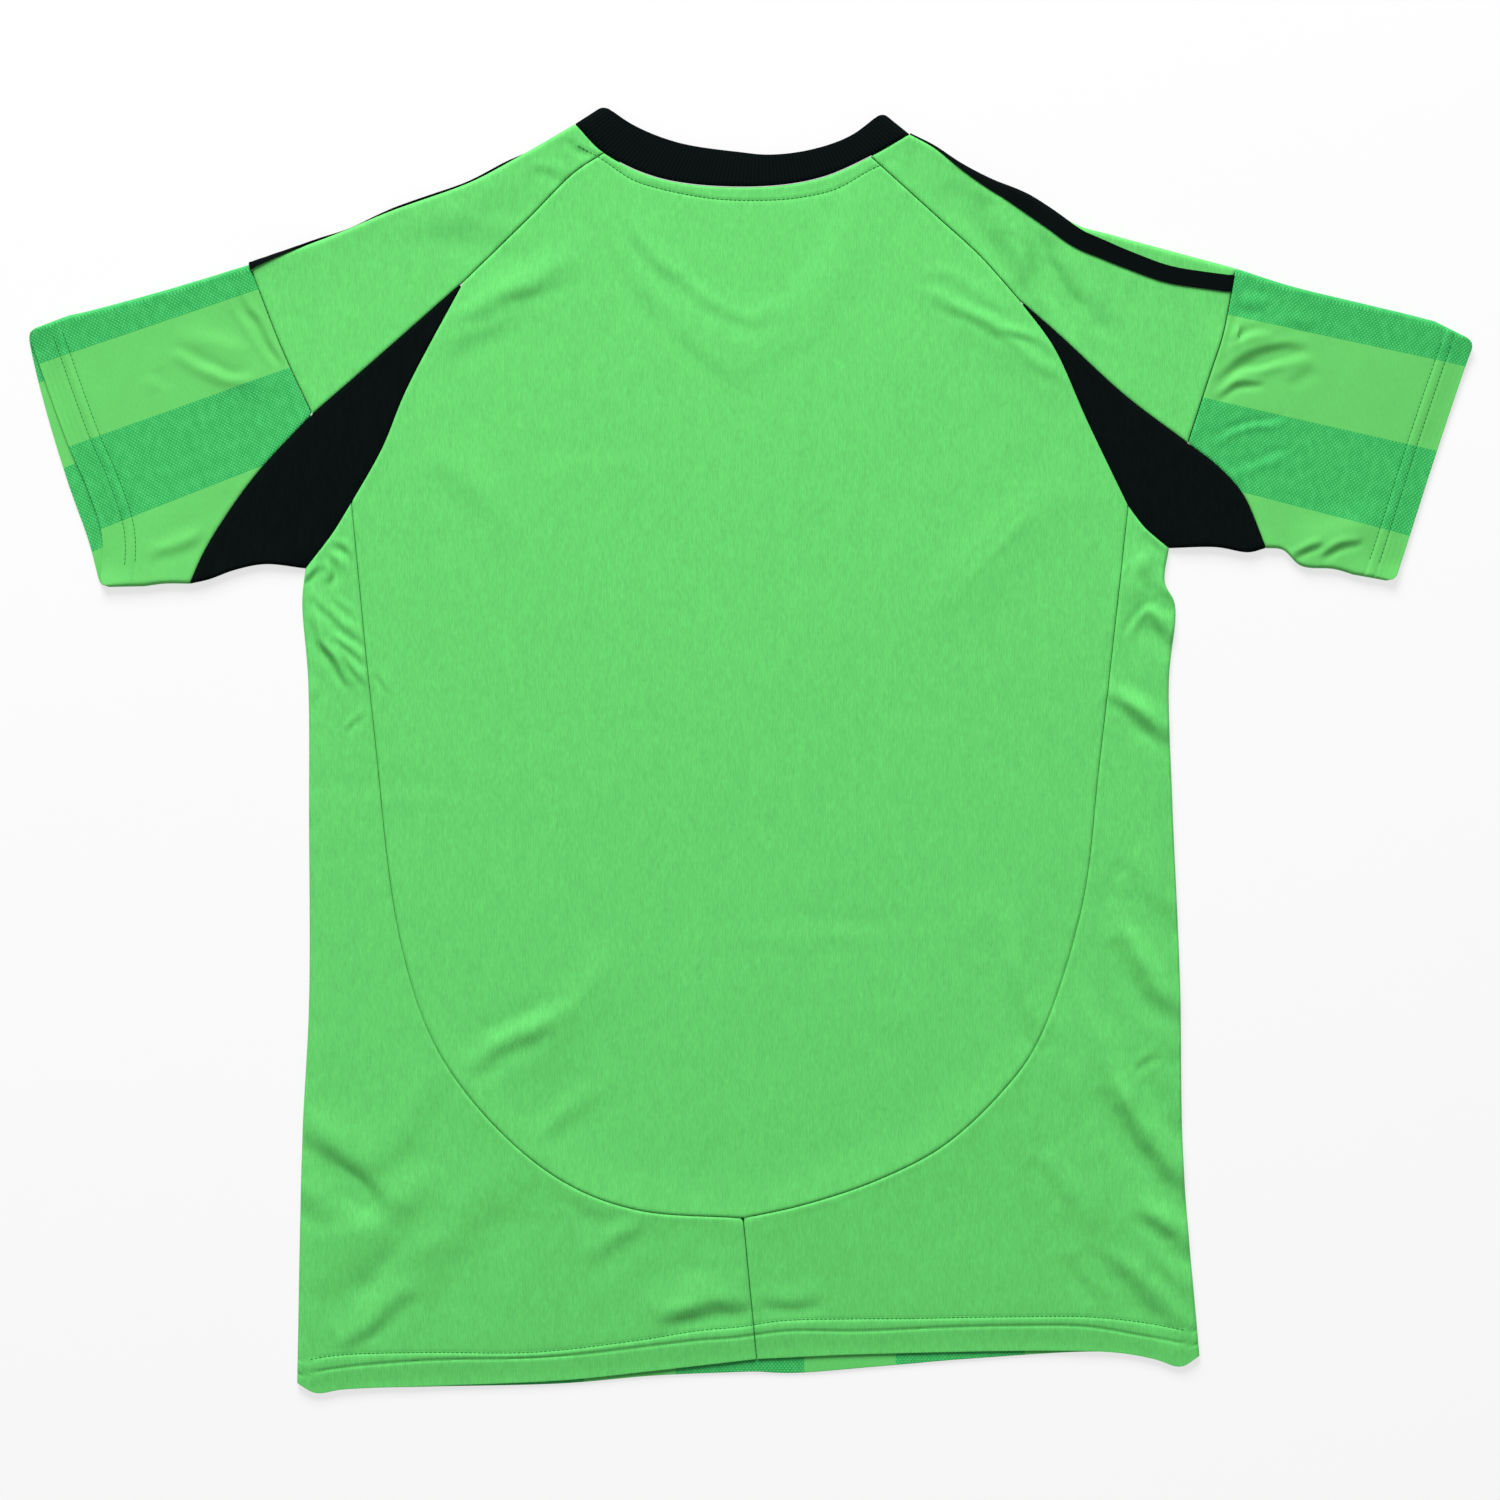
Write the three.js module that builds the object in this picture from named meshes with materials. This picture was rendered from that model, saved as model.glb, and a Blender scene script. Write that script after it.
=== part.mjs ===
// Short-sleeved football jersey laid flat on its front, with its back up, as a folded-out garment lies on a table.
// Millimetres. +Z is up from the surface, +Y runs from the hem to the collar, and the origin lies under its middle.
// Each piece that a maker cuts is one closed wall of cloth. Its plan comes from the seams and folded edges below,
// and its height from one surface for the upper layer and one for the lower layer, so that neighbours meet in level.
import * as THREE from "three";

// Cloth
const CLOTH = 1.0; // body and sleeves
const COLLAR_CLOTH = 1.5; // ribbed band, folded double
const TAPE_CLOTH = 1.0; // woven shoulder tape
const SEAM_GAP = 0.3; // between two pieces that are sewn together
const TAPE_GAP = 0.45; // between the tape and the cloth under it
const COLLAR_RISE = 0.4; // how far the collar stands above the cloth it is sewn to

// Layers
const UPPER_TOP = 3.2; // outer face of the upper layer, away from folds and creases
const FOLD_TOP = 5.0; // outer face of the upper layer at a folded edge
const FOLD_FADE = 20; // distance in which a puffed edge settles
const FOLD_DEPTH = 2.5; // depth of a folded edge's round, in plan
const FOLD_STEPS = 6; // steps round a folded edge
const TAPE_LIFT = 1.5; // how far the tape under the left shoulder lifts the lower layer
const TAPE_LIFT_REACH = 12; // distance from the fold where that lift starts to fall
const TAPE_LIFT_END = 24; // distance from the fold where it has gone

// Hems: the turned-up cloth makes them thicker.
const BODY_HEM = 22; // depth of the hem at the bottom
const CUFF_HEM = 18; // depth of the hem at each sleeve
const HEM_RISE = 0.5; // how far a hem stands proud
const HEM_STEP = 1.2; // width of the step beside its stitching

// Side panels turn under the side fold by this much, to the side seam on the front.
const SIDE_WRAP = 15;

// Steps along each seam. Both pieces at a seam use the same points, so the counts below fit together:
// gussetShoulder + gussetSleeve = gussetBody + gussetSide, and 2 * scoopBase = neckMiddle.
const STEPS = {
  neckSide: 4,
  neckMiddle: 18,
  neckV: 7,
  raglan: 6,
  gussetShoulder: 7,
  gussetSleeve: 7,
  gussetBody: 6,
  gussetSide: 8,
  gussetAcross: 3,
  scoopSide: 11,
  scoopBase: 9,
  centreSeam: 3,
  sleeveLength: 6,
  sideStrip: 2,
  frontHem: 10,
  collarWidth: 2,
  tapeWidth: 8,
};
// Places along the sleeve seam from its lower end, as shares of it. The last step holds the width of the tape.
const SLEEVE_SEAM_SHARES = [0, 0.3, 0.6, 0.88, 1];

// Seams and folded edges on each side, as [x, y] of the points that a smooth curve runs through.
const EDGES = {
  left: {
    shoulderFold: [[-103, 369], [-142, 346.5], [-165, 334.5], [-212, 317.5], [-248, 302.5], [-295, 286]],
    raglan: [[-86, 352], [-104, 340], [-130, 314], [-169, 276]],
    frontRaglan: [[-99, 352], [-130, 318], [-169, 276]],
    gussetShoulder: [[-169, 276], [-228, 224], [-258, 198]],
    gussetSleeve: [[-258, 198], [-293, 160], [-320, 120], [-330, 98]],
    gussetBody: [[-169, 276], [-203, 212], [-217, 178], [-235, 146]],
    gussetSide: [[-235, 146], [-246, 128], [-262, 107]],
    underarm: [[-330, 98], [-319, 100.5], [-304, 106], [-286, 109.5], [-262, 107]],
    sleeveSeam: [[-258, 198], [-276, 237], [-295, 286]],
    sleeveFold: [[-295, 286], [-345, 271], [-389, 259], [-410, 254], [-426, 247]],
    sleeveUnder: [[-330, 98], [-345, 98], [-366, 95.5], [-383, 96]],
    cuff: [[-426, 247], [-402, 180], [-391, 155], [-382, 126], [-383, 96]],
    frontCuff: [[-426, 247], [-423, 231], [-414, 196], [-402, 157], [-390, 123], [-383, 96]],
    sideFold: [[-262, 107], [-264, 88], [-260.5, 41], [-260, -41], [-260, -148], [-264, -230], [-267, -373]],
    scoop: [[-235, 146], [-222, 16], [-206, -112], [-185, -175], [-150, -222], [-109, -255], [-67, -271], [-4, -276]],
    hem: [[4, -359], [-57, -366], [-109, -371.5], [-189, -375], [-240, -377], [-256, -379], [-267, -373]],
    frontHem: [[3, -366.5], [-57, -369], [-109, -373.5], [-189, -375.5], [-240, -377], [-256, -379], [-267, -373]],
    frontNeck: [[-103, 369], [-99, 352], [-74, 288], [-41, 247], [-5, 218]],
    frontCollar: [[-86, 380], [-73, 336], [-41, 274], [-5, 247]],
  },
  right: {
    shoulderFold: [[94, 363], [108, 356], [124, 345.5], [142, 336], [163, 327.5], [193, 309.5], [212, 304], [286, 284]],
    raglan: [[71, 350], [113, 312], [136, 291], [159, 265]],
    frontRaglan: [[90, 346], [125, 312], [159, 265]],
    gussetShoulder: [[159, 265], [183, 244], [221, 209], [258, 181]],
    gussetSleeve: [[258, 181], [276, 167], [291, 150], [304, 119]],
    gussetBody: [[159, 265], [179, 238], [199, 194], [223, 144]],
    gussetSide: [[223, 144], [233, 131], [247, 119]],
    underarm: [[304, 119], [294, 116.5], [275, 119.5], [247, 119]],
    sleeveSeam: [[258, 181], [271, 221], [279, 246], [286, 284]],
    sleeveFold: [[286, 284], [319, 273.5], [360, 263.5], [395, 255], [410, 250.5], [427, 241]],
    sleeveUnder: [[304, 119], [314, 118], [325, 108.5], [345, 106.5], [362, 101], [372, 97.5], [380, 99]],
    cuff: [[427, 241], [420, 221], [403, 170], [386, 117], [380, 99]],
    frontCuff: [[427, 241], [420, 221], [403, 170], [386, 117], [380, 99]],
    sideFold: [[247, 119], [244.5, 99], [250.5, 86], [247, 41], [249, -30], [253.5, -136], [255.5, -242], [265, -357]],
    scoop: [[223, 144], [206, -7], [195, -95], [169, -173], [148, -202], [113, -234], [74, -254], [32, -268], [-4, -276]],
    hem: [[4, -359], [74, -356], [212, -355], [238, -359], [254, -363.5], [265, -357]],
    frontHem: [[3, -366.5], [24, -367.5], [77, -363.5], [130, -359], [212, -355], [238, -359], [254, -363.5], [265, -357]],
    frontNeck: [[94, 363], [90, 346], [64, 284], [32, 243], [-5, 218]],
    frontCollar: [[78, 376], [65, 330], [32, 271], [-5, 247]],
  },
};
const BACK_NECK = [[-103, 369], [-86, 352], [-53, 337], [-1, 332], [40, 337], [71, 350], [94, 363]];
const COLLAR_TOP = [[-86, 380], [-68, 368], [-42, 358], [-6, 352.5], [12, 351], [36, 354], [59, 362], [78, 376]];
const CENTRE_SEAM = [[-4, -276], [-1, -307], [4, -359]];

// Largest creases of the upper layer. Each runs from one point to the other as a soft ridge, or as a trough where
// its rise is negative. width is its half width, and bow is how far its middle stands to the left of its chord.
const CREASES = [
  { name: "left raglan", from: [-190, 232], to: [-96, 292], width: 11, rise: 1.5, bow: 6 },
  { name: "right raglan", from: [190, 204], to: [100, 280], width: 11, rise: 1.5, bow: -6 },
  { name: "right blade", from: [192, 162], to: [108, 72], width: 12, rise: 1.3, bow: 0 },
  { name: "left blade", from: [-192, 180], to: [-138, 122], width: 12, rise: 0.9, bow: 3 },
  { name: "left waist", from: [-172, -196], to: [-78, -116], width: 13, rise: 1.5, bow: -10 },
  { name: "right waist", from: [134, -80], to: [174, -174], width: 13, rise: 1.2, bow: -3 },
  { name: "left armpit", from: [-258, 96], to: [-222, 36], width: 9, rise: 1.6, bow: -4 },
  { name: "right armpit", from: [250, 84], to: [216, 108], width: 9, rise: 2.0, bow: 4 },
  { name: "right flank", from: [208, 38], to: [250, 4], width: 9, rise: 1.4, bow: 2 },
  { name: "right hip upper", from: [216, -90], to: [256, -184], width: 11, rise: 1.7, bow: -3 },
  { name: "right hip", from: [196, -142], to: [260, -268], width: 11, rise: 1.9, bow: -6 },
  { name: "right corner", from: [176, -236], to: [256, -322], width: 13, rise: 1.9, bow: -5 },
  { name: "left hip", from: [-264, -214], to: [-192, -266], width: 14, rise: 1.6, bow: 4 },
  { name: "left corner", from: [-252, -326], to: [-182, -258], width: 14, rise: 1.4, bow: 4 },
  { name: "middle", from: [-66, -338], to: [0, -298], width: 13, rise: 1.8, bow: 4 },
  { name: "left sleeve", from: [-340, 246], to: [-282, 208], width: 11, rise: 1.5, bow: 2 },
  { name: "right sleeve", from: [268, 230], to: [326, 250], width: 11, rise: 1.6, bow: 4 },
  { name: "right underarm", from: [316, 122], to: [374, 140], width: 10, rise: 1.8, bow: -5 },
  { name: "right shoulder", from: [132, 334], to: [178, 258], width: 12, rise: 1.0, bow: 4 },
  { name: "left shoulder", from: [-122, 340], to: [-200, 304], width: 12, rise: 0.9, bow: -3 },
];

// Inside the neck opening the upper layer sinks to the surface, and it rides over the front collar round it.
// Columns: distance inside the front collar's free edge, and the change in height there.
const NECK_RELIEF = [
  { inside: -34, rise: 0 },
  { inside: -19, rise: 0.9 },
  { inside: -3, rise: 0.9 },
  { inside: 14, rise: -1.2 },
];
const NECK_RELIEF_START = 16; // distance from the shoulder folds where that relief begins
const NECK_RELIEF_FULL = 46; // distance where it is whole

const COLOURS = {
  body: 0x56c95a,
  sleeve: 0x4fc463,
  black: 0x0b1314,
};

// A smooth curve through plan points, read by distance along it. marks holds the distance at each of those points.
const SAMPLES_PER_SPAN = 30;
function smooth(points) {
  const curve = new THREE.CatmullRomCurve3(points.map(([x, y]) => new THREE.Vector3(x, y, 0)), false, "centripetal");
  curve.arcLengthDivisions = SAMPLES_PER_SPAN * (points.length - 1);
  const lengths = curve.getLengths();
  const length = lengths.at(-1);
  const at = (distance) => {
    const p = curve.getPointAt(THREE.MathUtils.clamp(distance / length, 0, 1));
    return new THREE.Vector2(p.x, p.y);
  };
  return { length, at, marks: points.map((_, k) => lengths[k * SAMPLES_PER_SPAN]) };
}

// Points in equal steps between two distances along a curve.
function stations(curve, steps, from = 0, to = curve.length) {
  return Array.from({ length: steps + 1 }, (_, k) => curve.at(from + ((to - from) * k) / steps));
}

// Points along a hem, closer together towards its end at the side fold, where it curls.
const HEM_EASE = 1.4;
function hemStations(curve, steps, length) {
  return Array.from({ length: steps + 1 }, (_, k) => curve.at(length * (1 - (1 - k / steps) ** HEM_EASE)));
}

// Runs of points joined end to end, where each run starts on the last point of the one before it.
function joined(...runs) {
  return runs.flatMap((run, k) => (k === 0 ? run : run.slice(1)));
}

const reversed = (run) => [...run].reverse();
const SIDES = ["left", "right"];
const curves = Object.fromEntries(
  SIDES.map((side) => [
    side,
    Object.fromEntries(Object.entries(EDGES[side]).map(([name, points]) => [name, smooth(points)])),
  ]),
);
const backNeck = smooth(BACK_NECK);
const collarTop = smooth(COLLAR_TOP);
const centreSeam = smooth(CENTRE_SEAM);

// Shortest distance from a plan point to a run of points.
function distanceTo(run, p) {
  let best = Infinity;
  for (let k = 1; k < run.length; k++) {
    const span = run[k].clone().sub(run[k - 1]);
    const offset = p.clone().sub(run[k - 1]);
    const share = THREE.MathUtils.clamp(offset.dot(span) / span.lengthSq(), 0, 1);
    best = Math.min(best, offset.addScaledVector(span, -share).length());
  }
  return best;
}

const FOLD_NAMES = ["shoulderFold", "sleeveFold", "sleeveUnder", "underarm", "sideFold"];
const FOLD_SPACING = 9;
const sampled = (curve) => stations(curve, Math.ceil(curve.length / FOLD_SPACING));
const foldRuns = SIDES.flatMap((side) => FOLD_NAMES.map((name) => sampled(curves[side][name])));
const shoulderRuns = SIDES.map((side) => sampled(curves[side].shoulderFold));
const collarRuns = SIDES.map((side) => sampled(curves[side].frontCollar));

// Height change of one crease at a plan point.
function creaseAt({ from, to, width, rise, bow }, p) {
  const start = new THREE.Vector2(...from);
  const chord = new THREE.Vector2(...to).sub(start);
  const length = chord.length();
  chord.normalize();
  const offset = p.clone().sub(start);
  const share = offset.dot(chord) / length;
  if (share <= 0 || share >= 1) return 0;
  const side = chord.x * offset.y - chord.y * offset.x - bow * 4 * share * (1 - share);
  return rise * Math.sin(Math.PI * share) * Math.exp(-((side / width) ** 2));
}

// Height change round the neck opening at a plan point.
function neckReliefAt(p) {
  const [leftRun, rightRun] = collarRuns;
  const edgeAt = (run) => {
    const k = run.findIndex((q) => q.y <= p.y);
    if (k <= 0) return k === 0 ? run[0].x : run.at(-1).x;
    const share = (run[k - 1].y - p.y) / (run[k - 1].y - run[k].y);
    return THREE.MathUtils.lerp(run[k - 1].x, run[k].x, share);
  };
  const within = p.y > leftRun.at(-1).y && p.x > edgeAt(leftRun) && p.x < edgeAt(rightRun);
  const distance = Math.min(distanceTo(leftRun, p), distanceTo(rightRun, p));
  const inside = within ? distance : -distance;
  const k = NECK_RELIEF.findIndex((row) => inside < row.inside);
  const before = NECK_RELIEF.at(k - 1);
  const rise =
    k === 0 ? 0 : k < 0 ? NECK_RELIEF.at(-1).rise : THREE.MathUtils.lerp(
      before.rise,
      NECK_RELIEF[k].rise,
      THREE.MathUtils.smoothstep(inside, before.inside, NECK_RELIEF[k].inside),
    );
  const fromFold = Math.min(...shoulderRuns.map((run) => distanceTo(run, p)));
  return rise * THREE.MathUtils.smoothstep(fromFold, NECK_RELIEF_START, NECK_RELIEF_FULL);
}

// Height of the upper layer's outer face at a plan point.
function upperTop(p) {
  const fromFold = Math.min(...foldRuns.map((run) => distanceTo(run, p)));
  const puff = (FOLD_TOP - UPPER_TOP) * Math.exp(-fromFold / FOLD_FADE);
  return CREASES.reduce((z, crease) => z + creaseAt(crease, p), UPPER_TOP + puff + neckReliefAt(p));
}

// Height of the lower layer's outer face, which lies on the surface but for the strip that rests on the tape.
function lowerBase(p) {
  const [leftShoulder] = shoulderRuns;
  return TAPE_LIFT * (1 - THREE.MathUtils.smoothstep(distanceTo(leftShoulder, p), TAPE_LIFT_REACH, TAPE_LIFT_END));
}

// Points on the outer face of each layer: the place, the way out of the cloth, and the wall's thickness there.
const SLOPE_STEP = 2;
function upper(p, { thick = CLOTH, rise = 0 } = {}) {
  const height = (dx, dy) => upperTop(new THREE.Vector2(p.x + dx, p.y + dy));
  const slopeX = (height(SLOPE_STEP, 0) - height(-SLOPE_STEP, 0)) / (2 * SLOPE_STEP);
  const slopeY = (height(0, SLOPE_STEP) - height(0, -SLOPE_STEP)) / (2 * SLOPE_STEP);
  return {
    at: new THREE.Vector3(p.x, p.y, height(0, 0) + rise),
    out: new THREE.Vector3(-slopeX, -slopeY, 1).normalize(),
    thick: thick + rise,
  };
}
function lower(p, { thick = CLOTH, rise = 0 } = {}) {
  return { at: new THREE.Vector3(p.x, p.y, lowerBase(p)), out: new THREE.Vector3(0, 0, -1), thick: thick + rise };
}

// The round of a folded edge, from the upper layer over the edge to the lower layer.
function round(edge, inUpper, inLower, { thick = CLOTH, rise = 0, lift = 0 } = {}) {
  const high = upperTop(edge.clone().addScaledVector(inUpper, FOLD_DEPTH)) + lift;
  const low = lowerBase(edge.clone().addScaledVector(inLower, FOLD_DEPTH));
  const half = (high - low) / 2;
  return Array.from({ length: FOLD_STEPS + 1 }, (_, k) => {
    const angle = (Math.PI * k) / FOLD_STEPS;
    const inward = inUpper.clone().lerp(inLower, k / FOLD_STEPS).normalize();
    const reach = FOLD_DEPTH * (1 - Math.sin(angle));
    const side = -Math.sin(angle) / FOLD_DEPTH;
    const out = new THREE.Vector3(inward.x * side, inward.y * side, Math.cos(angle) / half).normalize();
    const proud = (rise * (1 + Math.cos(angle))) / 2;
    const at = new THREE.Vector3(edge.x + inward.x * reach, edge.y + inward.y * reach, low + half * (1 + Math.cos(angle)));
    return { at: at.addScaledVector(out, proud), out, thick: thick + proud };
  });
}

const inwardFrom = (edge, next) => next.clone().sub(edge).normalize();

// One line of a piece that turns over a folded edge. Both runs hold the edge's own point: above last, below first.
function foldedLine(above, below, cloth = {}) {
  const edge = above.at(-1);
  return [
    ...above.slice(0, -1).map((p) => upper(p, cloth)),
    ...round(edge, inwardFrom(edge, above.at(-2)), inwardFrom(edge, below[1]), cloth),
    ...below.slice(1).map((p) => lower(p, cloth)),
  ];
}

// One closed ring over two folded edges. above runs from the first edge to the second, and below runs back.
function foldedRing(above, below, cloth = {}) {
  const [first, second] = [above[0], above.at(-1)];
  const intoFirst = [inwardFrom(first, above[1]), inwardFrom(first, below.at(-2))];
  const intoSecond = [inwardFrom(second, above.at(-2)), inwardFrom(second, below[1])];
  return [
    ...above.slice(1, -1).map((p) => upper(p, cloth)),
    ...round(second, ...intoSecond, cloth),
    ...below.slice(1, -1).map((p) => lower(p, cloth)),
    ...reversed(round(first, ...intoFirst, cloth)),
  ];
}

// Plan points between four edges. Rows run from the left edge to the right one, and row 0 is the top edge.
function patch(top, bottom, left, right) {
  return left.map((_, i) =>
    top.map((_, j) => {
      const down = i / (left.length - 1);
      const across = j / (top.length - 1);
      return new THREE.Vector2()
        .addScaledVector(top[j], 1 - down)
        .addScaledVector(bottom[j], down)
        .addScaledVector(left[i], 1 - across)
        .addScaledVector(right[i], across)
        .addScaledVector(top[0], -(1 - down) * (1 - across))
        .addScaledVector(top.at(-1), -(1 - down) * across)
        .addScaledVector(bottom[0], -down * (1 - across))
        .addScaledVector(bottom.at(-1), -down * across);
    }),
  );
}

// Draws the named edges of a grid of plan points back by half a seam gap.
function seamed(grid, edges) {
  const last = grid.length - 1;
  const end = grid[0].length - 1;
  const lines = {
    top: grid[0].map((_, j) => [0, j, 1, j]),
    bottom: grid[0].map((_, j) => [last, j, last - 1, j]),
    left: grid.map((_, i) => [i, 0, i, 1]),
    right: grid.map((_, i) => [i, end, i, end - 1]),
  };
  const moved = grid.map((row) => row.map((p) => p.clone()));
  for (const name of edges) {
    const line = lines[name];
    line.forEach(([i, j, innerI, innerJ], k) => {
      const [beforeI, beforeJ] = line[Math.max(k - 1, 0)];
      const [afterI, afterJ] = line[Math.min(k + 1, line.length - 1)];
      const along = grid[afterI][afterJ].clone().sub(grid[beforeI][beforeJ]).normalize();
      const inward = grid[innerI][innerJ].clone().sub(grid[i][j]);
      moved[i][j].addScaledVector(inward, SEAM_GAP / 2 / Math.abs(inward.cross(along)));
    });
  }
  return moved;
}

const transposed = (grid) => grid[0].map((_, j) => grid.map((row) => row[j]));

// A closed wall of cloth from rows of outer points. In a ring, the last point of each row joins its first.
function wall(rows, ring = false) {
  const count = rows[0].length;
  const points = rows.flat();
  const inner = points.map(({ at, out, thick }) => at.clone().addScaledVector(out, -thick));
  const vertices = [...points.map(({ at }) => at), ...inner];
  const outerAt = (i, j) => i * count + (j % count);
  const innerAt = (i, j) => points.length + outerAt(i, j);
  const faces = [];
  const quad = (a, b, c, d) => faces.push([a, b, c], [a, c, d]);
  const last = rows.length - 1;
  const cells = ring ? count : count - 1;
  for (let i = 0; i < last; i++)
    for (let j = 0; j < cells; j++) {
      quad(outerAt(i, j), outerAt(i + 1, j), outerAt(i + 1, j + 1), outerAt(i, j + 1));
      quad(innerAt(i, j + 1), innerAt(i + 1, j + 1), innerAt(i + 1, j), innerAt(i, j));
    }
  for (let j = 0; j < cells; j++) {
    quad(outerAt(0, j), outerAt(0, j + 1), innerAt(0, j + 1), innerAt(0, j));
    quad(outerAt(last, j + 1), outerAt(last, j), innerAt(last, j), innerAt(last, j + 1));
  }
  for (let i = 0; i < last && !ring; i++) {
    quad(outerAt(i + 1, 0), outerAt(i, 0), innerAt(i, 0), innerAt(i + 1, 0));
    quad(outerAt(i, cells), outerAt(i + 1, cells), innerAt(i + 1, cells), innerAt(i, cells));
  }
  const [a, b, c] = faces[0].map((k) => vertices[k]);
  const facing = b.clone().sub(a).cross(c.clone().sub(a)).dot(points[0].out);
  const order = facing > 0 ? faces : faces.map((face) => reversed(face));
  const geometry = new THREE.BufferGeometry().setFromPoints(vertices);
  geometry.setIndex(order.flat());
  geometry.computeVertexNormals();
  return geometry;
}

// Plan points along the seams of each side, shared by the pieces that meet there.
function seamPoints(side) {
  const c = curves[side];
  const { marks } = backNeck;
  const neck = { left: [0, marks[1]], right: [backNeck.length, marks.at(-2)] }[side];
  const scoopTurn = c.scoop.length * (STEPS.scoopSide / (STEPS.scoopSide + STEPS.scoopBase));
  return {
    neckSide: stations(backNeck, STEPS.neckSide, ...neck),
    frontNeckSide: stations(c.frontNeck, STEPS.neckSide, 0, c.frontNeck.marks[1]),
    frontNeckV: stations(c.frontNeck, STEPS.neckV, c.frontNeck.marks[1]),
    raglan: stations(c.raglan, STEPS.raglan),
    frontRaglan: stations(c.frontRaglan, STEPS.raglan),
    gussetShoulder: stations(c.gussetShoulder, STEPS.gussetShoulder),
    gussetSleeve: stations(c.gussetSleeve, STEPS.gussetSleeve),
    gussetBody: stations(c.gussetBody, STEPS.gussetBody),
    gussetSide: stations(c.gussetSide, STEPS.gussetSide),
    underarm: stations(c.underarm, STEPS.gussetAcross),
    sleeveSeam: SLEEVE_SEAM_SHARES.map((share) => c.sleeveSeam.at(share * c.sleeveSeam.length)),
    scoopSide: stations(c.scoop, STEPS.scoopSide, 0, scoopTurn),
    scoopBase: stations(c.scoop, STEPS.scoopBase, scoopTurn),
  };
}
const seams = Object.fromEntries(SIDES.map((side) => [side, seamPoints(side)]));
const neckMiddle = stations(backNeck, STEPS.neckMiddle, backNeck.marks[1], backNeck.marks.at(-2));

// Back panel: from the neck to the scooped seam across the lower back.
function backPanel() {
  const down = (side) => joined(seams[side].raglan, seams[side].gussetBody, seams[side].scoopSide);
  const base = joined(seams.left.scoopBase, reversed(seams.right.scoopBase));
  const plan = patch(neckMiddle, base, down("left"), down("right"));
  return wall(seamed(plan, ["top", "bottom", "left", "right"]).map((row) => row.map((p) => upper(p))));
}

// Lower back panel of one side: below the scooped seam, out to the side fold, and round it to the side seam.
function sidePlan(side) {
  const c = curves[side];
  const s = seams[side];
  const hem = hemStations(c.hem, STEPS.gussetSide, c.hem.length);
  const centreEnd = centreSeam.length - BODY_HEM;
  const centre = stations(centreSeam, STEPS.centreSeam, 0, centreEnd);
  const inner = joined(s.scoopSide, s.scoopBase, centre);
  const outer = stations(c.sideFold, inner.length - 1, 0, c.sideFold.length - BODY_HEM);
  const hemLine = hem.map((p, j) => {
    const start = centre.at(-1).clone().sub(hem[0]);
    const finish = outer.at(-1).clone().sub(hem.at(-1));
    return p.clone().add(start.lerp(finish, j / STEPS.gussetSide));
  });
  const main = patch(s.gussetSide, hemLine, inner, outer);
  const stepLine = hemLine.map((p, j) => p.clone().lerp(hem[j], HEM_STEP / BODY_HEM));
  return [...main, stepLine, hem];
}
function sideStrip(side, edge) {
  const { frontHem } = curves[side];
  const inwards = side === "left" ? 1 : -1;
  const top = reversed(seams[side].gussetSide).slice(0, STEPS.sideStrip + 1);
  const rows = edge.map((p) => top.map((_, j) => p.clone().setX(p.x + (inwards * SIDE_WRAP * j) / STEPS.sideStrip)));
  const hem = stations(frontHem, STEPS.sideStrip, frontHem.length, frontHem.length - SIDE_WRAP);
  return [top, ...rows.slice(1, -1), hem];
}
function sidePanel(side) {
  const plan = sidePlan(side);
  const strip = sideStrip(side, plan.map((row) => row.at(-1)));
  const above = seamed(plan, ["top", "left"]);
  const below = seamed(strip, ["top", "right"]);
  const hemRows = 2;
  const rise = (i) => (i >= above.length - hemRows ? HEM_RISE : 0);
  return wall(above.map((row, i) => foldedLine(row, below[i], { rise: rise(i) })));
}

// Front panel: under the others, with the V neck, flat on the surface.
function frontPanel() {
  const half = (side) => {
    const s = seams[side];
    const edge = sidePlan(side).map((row) => row.at(-1));
    const seam = sideStrip(side, edge).map((row) => row.at(-1));
    return joined(reversed(s.frontNeckV), s.frontRaglan, s.gussetBody, s.gussetSide.slice(0, -STEPS.sideStrip), seam);
  };
  const bottom = (side) => {
    const { frontHem } = curves[side];
    return hemStations(frontHem, STEPS.frontHem, frontHem.length - SIDE_WRAP);
  };
  const outline = joined(half("left"), reversed(bottom("left")), bottom("right"), reversed(half("right"))).slice(0, -1);
  const shape = new THREE.Shape(drawnIn(outline, SEAM_GAP / 2));
  return new THREE.ExtrudeGeometry(shape, { depth: CLOTH, bevelEnabled: false });
}

// A closed outline with each point moved inwards, square to the outline there.
function drawnIn(outline, distance) {
  const spin = Math.sign(THREE.ShapeUtils.area(outline));
  return outline.map((p, k) => {
    const before = outline.at(k - 1);
    const after = outline[(k + 1) % outline.length];
    const along = after.clone().sub(before).normalize();
    return new THREE.Vector2(p.x - along.y * distance * spin, p.y + along.x * distance * spin);
  });
}

// Shoulder panel of one side: from the back raglan seam, over the shoulder fold, to the front raglan seam.
function shoulderRows(side) {
  const s = seams[side];
  const back = joined(s.raglan, s.gussetShoulder);
  const front = joined(s.frontRaglan, s.gussetShoulder);
  const fold = stations(curves[side].shoulderFold, back.length - 1);
  const above = patch(reversed(s.neckSide), s.sleeveSeam, back, fold);
  const below = patch(s.frontNeckSide, reversed(s.sleeveSeam), fold, front);
  const aboveSewn = seamed(above, ["top", "bottom", "left"]);
  const belowSewn = seamed(below, ["top", "bottom", "right"]);
  return aboveSewn.map((row, i) => foldedLine(row, belowSewn[i]));
}

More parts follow.
